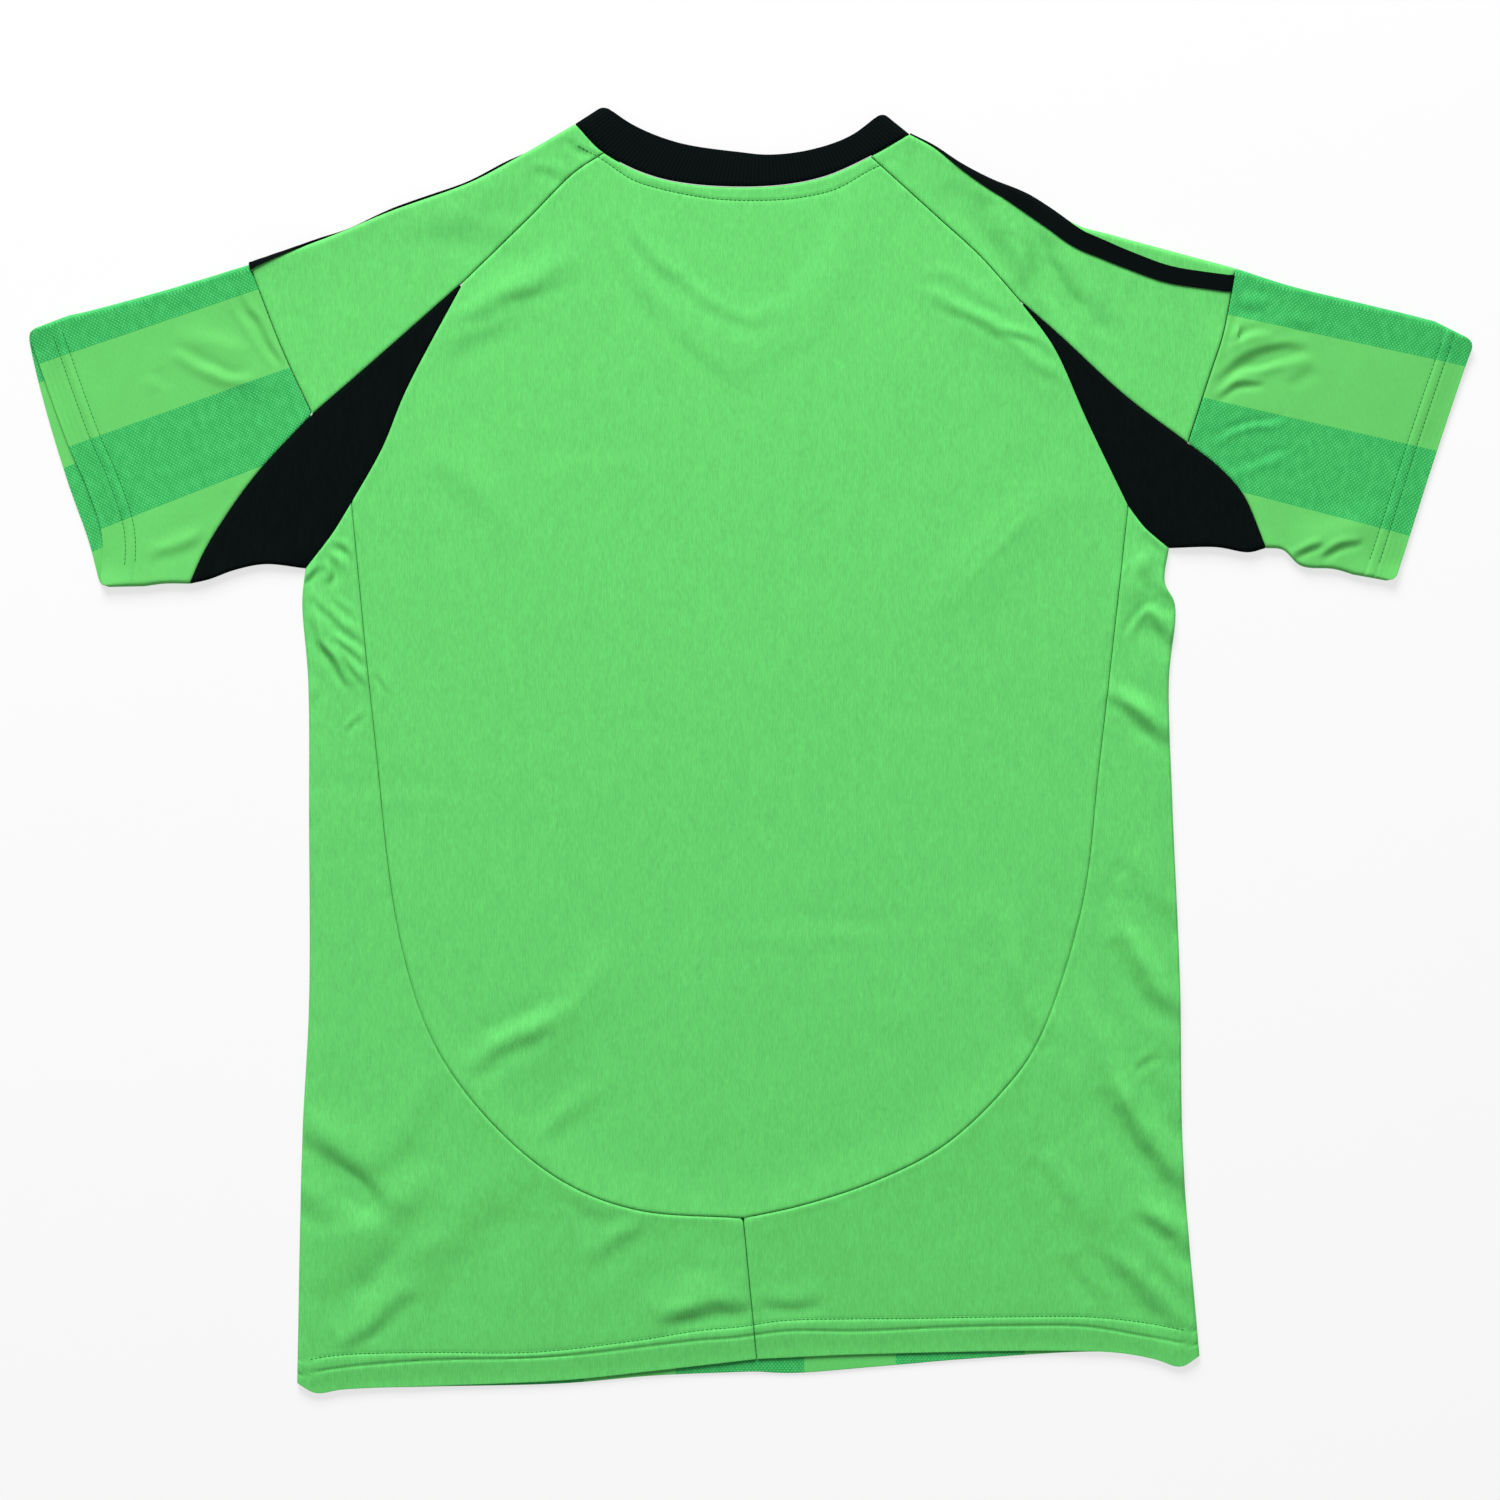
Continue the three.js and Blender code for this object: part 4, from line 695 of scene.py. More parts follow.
def upper_height(plan):
    """Height of the upper layer's outer face at plan points."""
    plan = np.asarray(plan, float).reshape(-1, 2)
    from_fold = NEAR_FOLD.distance(plan)
    from_seam = NEAR_SEAM.distance(plan)
    z = UPPER_TOP + (FOLD_TOP - UPPER_TOP) * np.exp(-from_fold / FOLD_FADE)
    for crease in MAIN_CREASES:
        z += main_crease(plan, *crease)
    z += fine_creases(plan)
    (low, *low_range), (out, *out_range) = RUFFLED_LOW, RUFFLED_SLEEVES
    ruffled = 1 + low * soft_step(-plan[:, 1], *low_range) + out * soft_step(np.abs(plan[:, 0]), *out_range)
    z += waves(plan, *BROAD_WAVES) + ruffled * sum(waves(plan, *ruffle) for ruffle in RUFFLES)
    sink, reach = EDGE_SINK
    z -= sink * fade(NEAR_OPEN_EDGE.distance(plan), reach) * soft_step(from_fold, 0, EDGE_SINK_FROM)
    z += waves(plan, *SEAM_PUCKER) * fade(from_seam, SEAM_PUCKER_REACH)
    z += waves(plan, *FOLD_PUCKER) * fade(from_fold, FOLD_PUCKER_REACH)
    rounding, reach = SIDE_ROUND
    z -= rounding * fade(NEAR_SIDE_FOLD.distance(plan), reach)
    z = FLOOR + np.logaddexp(0, (z - FLOOR) * FLOOR_HOLD) / FLOOR_HOLD
    z += neck_relief(plan) + scoop_ridge(plan)
    (lip, lip_place, lip_width), (depth, width) = SEAM_LIP, SEAM_GROOVE
    z += lip * fade(from_seam - lip_place, lip_width) - depth * fade(from_seam, width)
    depth, width = NECK_STITCH_GROOVE
    z -= depth * fade(NEAR_NECK_STITCH.distance(plan), width)
    z += body_hem(plan)
    for side in SIDES:
        there = plan[:, 0] < 0 if side == "left" else plan[:, 0] > 0
        z[there] += cuff_hem(plan[there], side)
    return z


def lower_height(plan):
    """Height of the lower layer's outer face, which lies on the table but over the left tape."""
    lift, start, end = TAPE_LIFT
    plan = np.asarray(plan, float).reshape(-1, 2)
    return lift * (1 - soft_step(NEAR_LEFT_SHOULDER.distance(plan), start, end))


def stations(length, count, first, last):
    """Distances along a line: close ones at its ends, and between them count even or given steps."""
    start, end = np.array(first, float), length - np.array(last, float)[::-1]
    shares = np.linspace(0, 1, count + 1) if np.isscalar(count) else np.asarray(count)
    return np.concatenate([start, start[-1] + (end[0] - start[-1]) * shares[1:-1], end])


def patch(top, bottom, left, right, rows, first, last, columns=PLAN_LINES):
    """Plan points between four runs. Rows run from the left run to the right one, from the top run down."""
    across = np.linspace(0, 1, columns)
    t, b = top.at(across * top.length), bottom.at(across * bottom.length)
    down_left = stations(left.length, rows, first, last)
    down_right = stations(right.length, rows, first, last)
    lf, rt = left.at(down_left), right.at(down_right)
    v = ((down_left / left.length + down_right / right.length) / 2)[:, None, None]
    u = across[None, :, None]
    corners = (1 - v) * (1 - u) * t[0] + (1 - v) * u * t[-1] + v * (1 - u) * b[0] + v * u * b[-1]
    return (1 - v) * t[None] + v * b[None] + (1 - u) * lf[:, None] + u * rt[:, None] - corners


def relaid(rows, count, first, last):
    """The same rows, each with its points at even distances along it and closer together at its ends."""
    out = []
    for row in rows:
        run = Run(row)
        out.append(run.at(stations(run.length, count, first, last)))
    return np.array(out)


def raised(rows, height, lift=0.0):
    z = height(rows.reshape(-1, 2)).reshape(rows.shape[:2]) + lift
    return np.concatenate([rows, z[..., None]], axis=2)


def inward(edge, points):
    v = points - edge
    return v / np.linalg.norm(v, axis=1, keepdims=True)


def fold_round(edge, above, below, lift=0.0):
    """The round of a folded edge for each row, from the last point above to the first one below."""
    in_upper, in_lower = inward(edge, above), inward(edge, below)
    high = upper_height(edge + in_upper * FOLD_DEPTH) + lift
    low = lower_height(edge + in_lower * FOLD_DEPTH)
    half = (high - low) / 2
    points = []
    for k in range(FOLD_STEPS + 1):
        angle = math.pi * k / FOLD_STEPS
        way = in_upper * (1 - k / FOLD_STEPS) + in_lower * (k / FOLD_STEPS)
        way /= np.linalg.norm(way, axis=1, keepdims=True)
        plan = edge + way * (FOLD_DEPTH * (1 - math.sin(angle)))
        points.append(np.column_stack([plan, low + half * (1 + math.cos(angle))]))
    return np.stack(points, axis=1)


def folded(above, edge, below):
    """Rows that turn over a folded edge. above ends and below starts FOLD_CLEAR short of it."""
    turn = fold_round(edge, above[:, -1], below[:, 0])
    return np.concatenate([raised(above, upper_height), turn, raised(below, lower_height)], axis=1)


def ringed(above, below, first_edge, second_edge, lift=0.0):
    """Closed rows over two folded edges, which start in the middle of the first edge's round."""
    start = fold_round(first_edge, above[:, 0], below[:, -1], lift)[:, ::-1]
    middle = FOLD_STEPS // 2
    parts = [
        start[:, middle:],
        raised(above, upper_height, lift),
        fold_round(second_edge, above[:, -1], below[:, 0], lift),
        raised(below, lower_height),
        start[:, :middle],
    ]
    return np.concatenate(parts, axis=1)


def new_mesh(name, points, uv, ring=False, stripe=None):
    """A mesh object from rows of points in millimetres, facing up at its first cell, with uv in metres."""
    rows, count = points.shape[:2]
    cells = count if ring else count - 1
    i, j = np.meshgrid(np.arange(rows - 1), np.arange(cells), indexing="ij")
    corners = [(i, j), (i + 1, j), (i + 1, j + 1), (i, j + 1)]
    a, b, d = points[0, 0], points[1, 0], points[0, 1]
    if np.cross(b - a, d - a)[2] < 0:
        corners = corners[::-1]
    faces = np.stack([r * count + c % count for r, c in corners], axis=-1).reshape(-1, 4)
    mesh = bpy.data.meshes.new(name)
    mesh.from_pydata((points.reshape(-1, 3) * MM).tolist(), [], faces.tolist())
    for layer_name, values in (("UVMap", uv), ("Stripe", stripe)):
        if values is not None:
            layer = mesh.uv_layers.new(name=layer_name)
            loops = np.stack([values[r, c] for r, c in corners], axis=-2).reshape(-1, 2)
            layer.data.foreach_set("uv", loops.astype(np.float32).ravel())
    mesh.validate()
    obj = bpy.data.objects.new(name, mesh)
    bpy.context.scene.collection.objects.link(obj)
    return obj


def plan_uv(points):
    return points[..., :2] * MM


def make_active(obj):
    bpy.ops.object.select_all(action="DESELECT")
    obj.select_set(True)
    bpy.context.view_layer.objects.active = obj


def walled(obj, thick, rim, even=True):
    """Gives a sheet its thickness, inwards from the face it has, and rounds its cut edges."""
    make_active(obj)
    wall = obj.modifiers.new("Cloth", "SOLIDIFY")
    wall.thickness = thick * MM
    wall.offset = -1
    wall.use_even_offset = even
    bpy.ops.object.modifier_apply(modifier=wall.name)
    edge = obj.modifiers.new("Edge", "BEVEL")
    edge.width = rim * MM
    edge.segments = 2
    edge.limit_method = "ANGLE"
    edge.angle_limit = math.radians(RIM_ANGLE)
    bpy.ops.object.modifier_apply(modifier=edge.name)
    bpy.ops.object.shade_smooth_by_angle(angle=math.radians(SMOOTH_ANGLE))


def settle(obj, material, node):
    """Gives a finished piece its material, and makes it stand for its solid."""
    obj.data.materials.clear()
    obj.data.materials.append(material)
    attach(obj, "root")
    if node:
        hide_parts(node)


# Materials. Sizes are in metres here, as in the node trees.
SHEEN_ROUGHNESS = 0.5
FINE_STREAK, WIDE_STREAK = (0.0008, 0.0042, 0.01), (0.0034, 0.0090, 0.01)
KNIT_RIB, KNIT_COURSE = 0.00155, 0.0011  # pitch across and along the knit
KNIT_PATCH = (0.009, 0.012, 0.01)
KNIT_DEPTH = 0.00014
MESH_PITCH, MESH_LEAN = 0.0021, 0.8  # pitch of the mesh's cells across, and how far their lines lean
MESH_DEPTH = 0.00018
# The second size is that of the irregular patches in which the mesh stripes show more of their painted shade.
STRIPE_PATCH, CRUMPLE_SHADE = (0.07, 0.07, 0.07), (0.004, 0.007, 0.01)
BLACK_RIB, BLACK_DEPTH = 0.0014, 0.00015
COLLAR_RIB, COLLAR_FLECK, COLLAR_RIB_DEPTH = 0.0021, (0.0008, 0.004, 0.01), 0.0003
TAPE_WARP, TAPE_WEFT, TAPE_FLECK, TAPE_DEPTH = 0.0012, 0.0015, (0.0006, 0.0006, 0.01), 0.0002
THREAD_TWIST, THREAD_DEPTH = (0.0004, 0.0004, 0.0004), 0.0001
PAPER_GRAIN = (0.02, 0.02, 0.02)
PAPER_GLOW = 0.70  # a lit table, whose even white swallows most of the shadow at the hem


class Nodes:
    """Short calls for adding and joining the nodes of one material."""

    def __init__(self, name):
        self.material = bpy.data.materials.new(name)
        self.material.use_nodes = True
        self.tree = self.material.node_tree
        self.shader = self.tree.nodes["Principled BSDF"]

    def add(self, kind, **settings):
        node = self.tree.nodes.new(kind)
        for name, value in settings.items():
            setattr(node, name, value)
        return node

    def link(self, source, target):
        self.tree.links.new(source, target)

    def math(self, operation, *values):
        node = self.add("ShaderNodeMath", operation=operation)
        for k, value in enumerate(values):
            if isinstance(value, (int, float)):
                node.inputs[k].default_value = value
            else:
                self.link(value, node.inputs[k])
        return node.outputs[0]

    def mix(self, share, low, high):
        node = self.add("ShaderNodeMix", data_type="RGBA")
        colours = [s for s in node.inputs if s.type == "RGBA"]
        for socket, value in ((node.inputs[0], share), (colours[0], low), (colours[1], high)):
            if isinstance(value, (int, float)):
                socket.default_value = value
            elif isinstance(value, tuple):
                socket.default_value = (*value, 1)
            else:
                self.link(value, socket)
        return next(s for s in node.outputs if s.type == "RGBA")

    def position(self, uv_map=None):
        """The place on the piece as x and y: Object coordinates, or a UV map of it in metres."""
        if uv_map:
            vector = self.add("ShaderNodeUVMap", uv_map=uv_map).outputs["UV"]
        else:
            vector = self.add("ShaderNodeTexCoord").outputs["Object"]
        parts = self.add("ShaderNodeSeparateXYZ")
        self.link(vector, parts.inputs[0])
        return vector, parts.outputs["X"], parts.outputs["Y"]

    def sum(self, *terms):
        """The sum of values, each given with its weight."""
        total = None
        for value, weight in terms:
            part = value if weight == 1 else self.math("MULTIPLY", value, weight)
            total = part if total is None else self.math("ADD", total, part)
        return total

    def product(self, one, two):
        return self.math("MULTIPLY", one, two)

    def speckle(self, vector, size, detail=2.0):
        """Noise whose cells have the given size in metres along x, y and z."""
        mapping = self.add("ShaderNodeMapping")
        self.link(vector, mapping.inputs["Vector"])
        mapping.inputs["Scale"].default_value = [1 / s for s in size]
        texture = self.add("ShaderNodeTexNoise")
        self.link(mapping.outputs["Vector"], texture.inputs["Vector"])
        texture.inputs["Scale"].default_value = 1
        texture.inputs["Detail"].default_value = detail
        return texture.outputs["Fac"]

    def wave(self, place, pitch):
        """0 to 1 and back over each pitch in metres."""
        turn = self.math("SINE", self.product(place, 2 * math.pi / pitch))
        return self.math("MULTIPLY_ADD", turn, 0.5, 0.5)

    def bump(self, height, depth, strength):
        node = self.add("ShaderNodeBump")
        node.inputs["Strength"].default_value = strength
        node.inputs["Distance"].default_value = depth
        self.link(height, node.inputs["Height"])
        self.link(node.outputs["Normal"], self.shader.inputs["Normal"])

    def surface(self, colour, roughness, specular, sheen=0.0):
        inputs = self.shader.inputs
        self.link(colour, inputs["Base Color"])
        if isinstance(roughness, float):
            inputs["Roughness"].default_value = roughness
        else:
            self.link(roughness, inputs["Roughness"])
        inputs["Specular IOR Level"].default_value = specular
        inputs["Sheen Weight"].default_value = sheen
        inputs["Sheen Roughness"].default_value = SHEEN_ROUGHNESS
        return self.material


def spread(n, source, low, high):
    """A 0 to 1 value brought to run from low to high."""
    return n.math("MULTIPLY_ADD", source, high - low, low)


def tinted(n, share, colour, low, high):
    """The colour, darker or lighter as the share goes from 0 to 1."""
    return n.mix(share, *(tuple(min(1.0, c * factor) for c in colour) for factor in (low, high)))


def knit_streaks(n, vector):
    """Uneven lengthwise ribs of a fine knit: hair-fine short streaks, and wider ones under them."""
    return n.speckle(vector, FINE_STREAK), n.speckle(vector, WIDE_STREAK)


def plain_knit(name, colour):
    """Close knit with a silky sheen."""
    n = Nodes(name)
    vector, x, y = n.position()
    fine, wide = knit_streaks(n, vector)
    patches = n.speckle(vector, KNIT_PATCH, 3.0)
    rib, course = n.wave(x, KNIT_RIB), n.wave(y, KNIT_COURSE)
    # The rib wave also makes the knit a little darker in its grooves and lighter on its crests: painted shade
    # and highlight.
    tone = n.sum((fine, 0.74), (wide, 0.22), (rib, 0.05), (patches, 0.15))
    n.bump(n.sum((rib, 0.4), (fine, 1.2), (course, 0.25)), KNIT_DEPTH, 0.6)
    return n.surface(tinted(n, tone, colour, 0.64, 1.23), spread(n, wide, 0.56, 0.7), 0.15, 0.03)


def mesh_cells(n, u, v, pitch):
    """Small diagonal cells of an open knit, 0 in the holes to 1 on the threads."""
    lean = n.product(v, MESH_LEAN)
    return n.product(n.wave(n.math("ADD", u, lean), pitch), n.wave(n.math("SUBTRACT", u, lean), pitch))


def striped_knit(name, light, dark, mesh_light, stripe_share, uv_map=None):
    """Plain knit with stripes of open mesh, whose holes show the cloth below them as a flat darker green: its
    green with painted shade. stripe_share makes the 0 or 1 of the stripes in the node tree.
    """
    n = Nodes(name)
    vector, u, v = n.position(uv_map)
    fine, wide = knit_streaks(n, vector)
    patches = n.speckle(vector, STRIPE_PATCH)
    crumple_shade = n.speckle(vector, CRUMPLE_SHADE, 3.0)
    cells = mesh_cells(n, u, v, MESH_PITCH)
    tone = n.sum((fine, 0.5), (patches, 0.4))
    plain = tinted(n, tone, light, 0.80, 1.20)
    # The holes take the darker green, which is painted shade seen through them, spread in irregular patches
    # by the crumple noise.
    holes = n.sum((cells, 1.1), (n.math("SUBTRACT", tone, 0.45), 0.5), (n.math("SUBTRACT", crumple_shade, 0.46), 1))
    share = stripe_share(n)
    n.bump(n.sum((n.product(cells, share), 1.6), (fine, 0.6)), MESH_DEPTH, 0.6)
    shown = n.mix(share, plain, n.mix(holes, dark, mesh_light))
    return n.surface(shown, spread(n, wide, 0.58, 0.72), 0.15, 0.03)


def sleeve_stripe(n):
    """1 in the mesh stripes of a sleeve, from its stripe map."""
    place = n.add("ShaderNodeUVMap", uv_map="Stripe").outputs["UV"]
    parts = n.add("ShaderNodeSeparateXYZ")
    n.link(place, parts.inputs[0])
    phase = n.math("FRACT", n.product(parts.outputs["X"], 0.5))
    return n.math("LESS_THAN", phase, 0.5)


def front_stripe(n):
    """1 in the lengthwise mesh stripes of the front."""
    _, x, _ = n.position()
    width, period, centre = (FRONT_STRIPES[k] * MM for k in ("width", "period", "centre"))
    start = centre - width / 2 - 40 * period  # far to the left, so that no place is negative
    phase = n.math("FRACT", n.math("DIVIDE", n.math("SUBTRACT", x, start), period))
    return n.math("LESS_THAN", phase, width / period)


def black_knit(name, colour):
    """Matt close knit of the gussets."""
    n = Nodes(name)
    vector, x, _ = n.position()
    fine, wide = knit_streaks(n, vector)
    tone = n.sum((fine, 0.6), (wide, 0.4))
    n.bump(n.sum((fine, 1), (n.wave(x, BLACK_RIB), 0.5)), BLACK_DEPTH, 0.6)
    return n.surface(tinted(n, tone, colour, 0.40, 1.35), 0.9, 0.025)


def black_rib(name, colour):
    """Rib knit: ribs run across the band, so they repeat along it."""
    n = Nodes(name)
    vector, along, _ = n.position("UVMap")
    rib = n.wave(along, COLLAR_RIB)
    fine = n.speckle(vector, COLLAR_FLECK, 1.0)
    # Painted shade and highlight: the rib wave makes the colour darker in the grooves between ribs and
    # lighter on their crests.
    tone = n.sum((rib, 0.65), (fine, 0.35))
    n.bump(n.sum((rib, 1), (fine, 0.3)), COLLAR_RIB_DEPTH, 0.5)
    return n.surface(tinted(n, tone, colour, 0.55, 1.35), 0.88, 0.022)


def black_tape(name, colour):
    """Narrow woven tape: short crosswise ribs."""
    n = Nodes(name)
    vector, along, across = n.position("UVMap")
    weave = n.product(n.wave(across, TAPE_WARP), n.wave(along, TAPE_WEFT))
    # Painted shade and highlight: the weave makes the colour darker between the threads and lighter where
    # they cross.
    tone = n.sum((weave, 0.6), (n.speckle(vector, TAPE_FLECK, 1.0), 0.4))
    n.bump(weave, TAPE_DEPTH, 0.6)
    return n.surface(tinted(n, tone, colour, 0.4, 1.5), 0.88, 0.03)


def thread(name, colour):
    """Twisted sewing thread."""
    n = Nodes(name)
    twist = n.speckle(n.position()[0], THREAD_TWIST, 1.0)
    n.bump(twist, THREAD_DEPTH, 0.5)
    return n.surface(tinted(n, twist, colour, 0.75, 1.2), 0.7, 0.06)


def paper(name, colour):
    """White paper, lit from below as on a product table."""
    n = Nodes(name)
    grain = n.speckle(n.position()[0], PAPER_GRAIN, 3.0)
    n.shader.inputs["Emission Color"].default_value = (1, 1, 1, 1)
    n.shader.inputs["Emission Strength"].default_value = PAPER_GLOW
    return n.surface(tinted(n, grain, colour, 0.98, 1), 0.9, 0.0)


def material(name):
    """The named material, made once from the colours that the panel holds."""
    made = bpy.data.materials.get(name)
    if made:
        return made
    c = {key: tuple(getattr(bpy.context.scene.jersey_colours, key)) for key in COLOURS}
    light, *mesh = c["stripe_light"], c["stripe_dark"], c["stripe_thread"]
    makers = {
        "green_knit": lambda: plain_knit(name, c["body"]),
        "striped_sleeve_knit": lambda: striped_knit(name, light, *mesh, sleeve_stripe, "UVMap"),
        "striped_front_knit": lambda: striped_knit(name, c["body"], *mesh, front_stripe),
        "black_knit": lambda: black_knit(name, c["black"]),
        "black_rib": lambda: black_rib(name, c["black"]),
        "black_tape": lambda: black_tape(name, c["black"]),
        "green_thread": lambda: thread(name, c["thread"]),
        "table_paper": lambda: paper(name, c["table"]),
    }
    return makers[name]()


COLOURS = {
    "body": ("Body cloth", (0.100, 0.500, 0.113)),
    "stripe_light": ("Plain stripes of the sleeves", (0.102, 0.470, 0.103)),
    # Painted shade: the darker green that the mesh stripes' holes show, standing for the shaded cloth below
    # them.
    "stripe_dark": ("Holes of the mesh stripes", (0.020, 0.310, 0.066)),
    "stripe_thread": ("Threads of the mesh stripes", (0.068, 0.500, 0.140)),
    "black": ("Collar, gussets and tape", (0.0020, 0.0042, 0.0040)),
    "thread": ("Sewing thread", (0.012, 0.150, 0.028)),
    "table": ("Table", (0.20, 0.20, 0.20)),
}


def colour_property(label, value):
    about = f"Colour of: {label.lower()}"
    return FloatVectorProperty(
        name=label, description=about, subtype="COLOR", size=3, min=0, max=1, default=value
    )


class JerseyColours(bpy.types.PropertyGroup):
    """Colours, as linear light."""

    __annotations__ = {key: colour_property(*value) for key, value in COLOURS.items()}


def length_property(label, about, millimetres):
    return FloatProperty(
        name=label, description=about, subtype="DISTANCE", unit="LENGTH", min=0, default=millimetres * MM
    )


class JerseySizes(bpy.types.PropertyGroup):
    """Sizes that can be changed without changing the cut."""

    cloth: length_property("Cloth", "Thickness of the body and sleeve cloth", 0.9)
    collar_cloth: length_property("Collar", "Thickness of the folded collar band", 1.3)
    tape_cloth: length_property("Tape", "Thickness of the shoulder tape", 0.6)
    tape_gap: length_property("Tape gap", "Distance between the tape and the shoulder under it", 0.3)
    rim: length_property("Cut edge", "Rounding of the cloth's cut edges", 0.28)
    stitch_pitch: length_property("Stitch pitch", "Distance from one stitch to the next", 2.6)
    thread: length_property("Thread", "Thickness of the sewing thread", 0.42)


class JerseyLight(bpy.types.PropertyGroup):
    """Light of the stage."""

    key: FloatProperty(
        name="Key light", description="Power of the soft light", unit="POWER", default=421, min=0
    )
    fill: FloatProperty(
        name="Fill", description="Strength of the even light from all sides", default=0.36, min=0
    )


def size(name):
    return getattr(bpy.context.scene.jersey_sizes, name) / MM


def steps(length, pitch):
    return max(4, round(length / pitch))


# Pieces
class JERSEY_OT_front(bpy.types.Operator):
    """Front panel: under the others, with the V neck, flat on the table"""

    bl_idname = "jersey.front"
    bl_label = "Front panel"

    def execute(self, context):
        def down(side):
            c = CURVES[side]
            fold = c["side_fold"]
            inwards = SIDE_WRAP if side == "left" else -SIDE_WRAP
            strip = fold.part(SIDE_EASE, fold.length - HEM_ZONE).points + [inwards, 0]
            gusset = c["gusset_side"].part(0, c["gusset_side"].length - SIDE_WRAP)
            corner = c["front_hem"].at(c["front_hem"].length - SIDE_WRAP)
            turned = Run(np.vstack([gusset.points, strip, [corner]]))
            return chain(c["front_raglan"], c["gusset_body"], turned)

        v_neck, hems = [], []
        for side in SIDES:
            c = CURVES[side]
            v_neck.append(c["front_neck"].part(c["front_neck"].marks[1], c["front_neck"].length))
            hems.append(c["front_hem"].part(c["front_hem"].length - SIDE_WRAP, 0))
        top = chain(v_neck[0], v_neck[1].back())
        bottom = chain(hems[0], hems[1].back())
        left, right = down("left"), down("right")
        rows, width, pitch = FRONT_MESH
        plan = patch(top, bottom, left, right, steps(left.length, rows), UNDER_ROWS, FRONT_HEM_ROWS)
        plan = relaid(plan, steps(width, pitch), FRONT_SIDE_ROWS, FRONT_SIDE_ROWS)
        points = np.concatenate([plan, np.full((*plan.shape[:2], 1), FRONT_TOP)], axis=2)
        obj = new_mesh("jersey_front", points, plan_uv(points))
        walled(obj, FRONT_TOP, size("rim"))
        settle(obj, material("striped_front_knit"), "front_panel")
        return {"FINISHED"}


class JERSEY_OT_back(bpy.types.Operator):
    """Back panel: from the neck to the scooped seam across the lower back"""

    bl_idname = "jersey.back"
    bl_label = "Back panel"

    def execute(self, context):
        down, base = [], []
        for side in SIDES:
            c = CURVES[side]
            turn = c["scoop"].length * SCOOP_TURN
            down.append(chain(c["raglan"], c["gusset_body"], c["scoop"].part(0, turn)))
            base.append(c["scoop"].part(turn, c["scoop"].length))
        marks = BACK_NECK_RUN.marks
        top = BACK_NECK_RUN.part(marks[1], marks[-2])
        bottom = chain(base[0], base[1].back())
        rows, width, pitch = BACK_MESH
        plan = patch(top, bottom, *down, steps(down[0].length, rows), NECK_ROWS, SEAM_ROWS, BACK_PLAN_LINES)
        plan = relaid(plan, steps(width, pitch), SEAM_ROWS, SEAM_ROWS)
        points = raised(plan, upper_height)
        obj = new_mesh("jersey_back", points, plan_uv(points))
        walled(obj, size("cloth"), size("rim"))
        settle(obj, material("green_knit"), "back_panel")
        return {"FINISHED"}


def side_plan(side):
    """Plan of a lower back panel: its rows from the scooped or centre seam, and its folded edge."""
    c = CURVES[side]
    fold = c["side_fold"]
    inner = chain(c["scoop"], CENTRE_RUN.part(0, CENTRE_RUN.length - HEM_ZONE))
    outer = fold.part(0, fold.length - HEM_ZONE)
    hem = c["hem"].at(np.linspace(0, c["hem"].length, PLAN_LINES))
    start = inner.points[-1] - hem[0]
    finish = outer.points[-1] - hem[-1]
    share = np.linspace(0, 1, len(hem))[:, None]
    hem_top = hem + start * (1 - share) + finish * share
    close = steps(ARMPIT_ZONE, ARMPIT_PITCH)
    wide = steps(outer.length - ARMPIT_ZONE, SIDE_PITCH)
    shares = np.concatenate(
        [
            np.linspace(0, ARMPIT_ZONE, close + 1) / outer.length,
            np.linspace(ARMPIT_ZONE / outer.length, 1, wide + 1)[1:],
        ]
    )
    main = patch(c["gusset_side"], Run(hem_top), inner, outer, shares, SEAM_ROWS, PLAIN_EDGE)
    down = np.linspace(0, 1, round(HEM_ZONE / HEM_PITCH) + 1)[1:, None, None]
    rows = np.concatenate([main, hem_top * (1 - down) + hem * down])
    return rows, rows[:, -1]


def side_strip(side, edge):
    """The strip of a side panel that turns under: rows from the folded edge to the side seam."""
    c = CURVES[side]
    inwards = 1 if side == "left" else -1
    places = np.array(SIDE_STRIP_ROWS)
    level = np.stack([places * inwards, np.zeros(len(places))], axis=1)
    gusset, hem = c["gusset_side"], c["front_hem"]
    top = gusset.at(gusset.length - places) - gusset.points[-1]
    bottom = hem.at(hem.length - places) - hem.points[-1]
    along = Run(edge).along
    from_top = soft_step(along, 0, SIDE_EASE)[:, None, None]
    to_bottom = np.clip((along - along[-1] + HEM_ZONE) / HEM_ZONE, 0, 1)[:, None, None]
    offset = top * (1 - from_top) + level * (from_top - to_bottom) + bottom * to_bottom
    return edge[:, None] + offset


class JERSEY_OT_lower_back(bpy.types.Operator):
    """Lower back panels: below the scooped seam, out to the side folds and round them to the side seams"""

    bl_idname = "jersey.lower_back"
    bl_label = "Lower back panels"

    def execute(self, context):
        for side in SIDES:
            rows, edge = side_plan(side)
            above = relaid(rows, LOWER_BACK_LINES, SEAM_ROWS, SIDE_FOLD_ROWS)
            points = folded(above, edge, side_strip(side, edge))
            obj = new_mesh(f"jersey_lower_back_{side}", points, plan_uv(points))
            walled(obj, size("cloth"), size("rim"))
            settle(obj, material("green_knit"), f"lower_back_{side}")
        return {"FINISHED"}


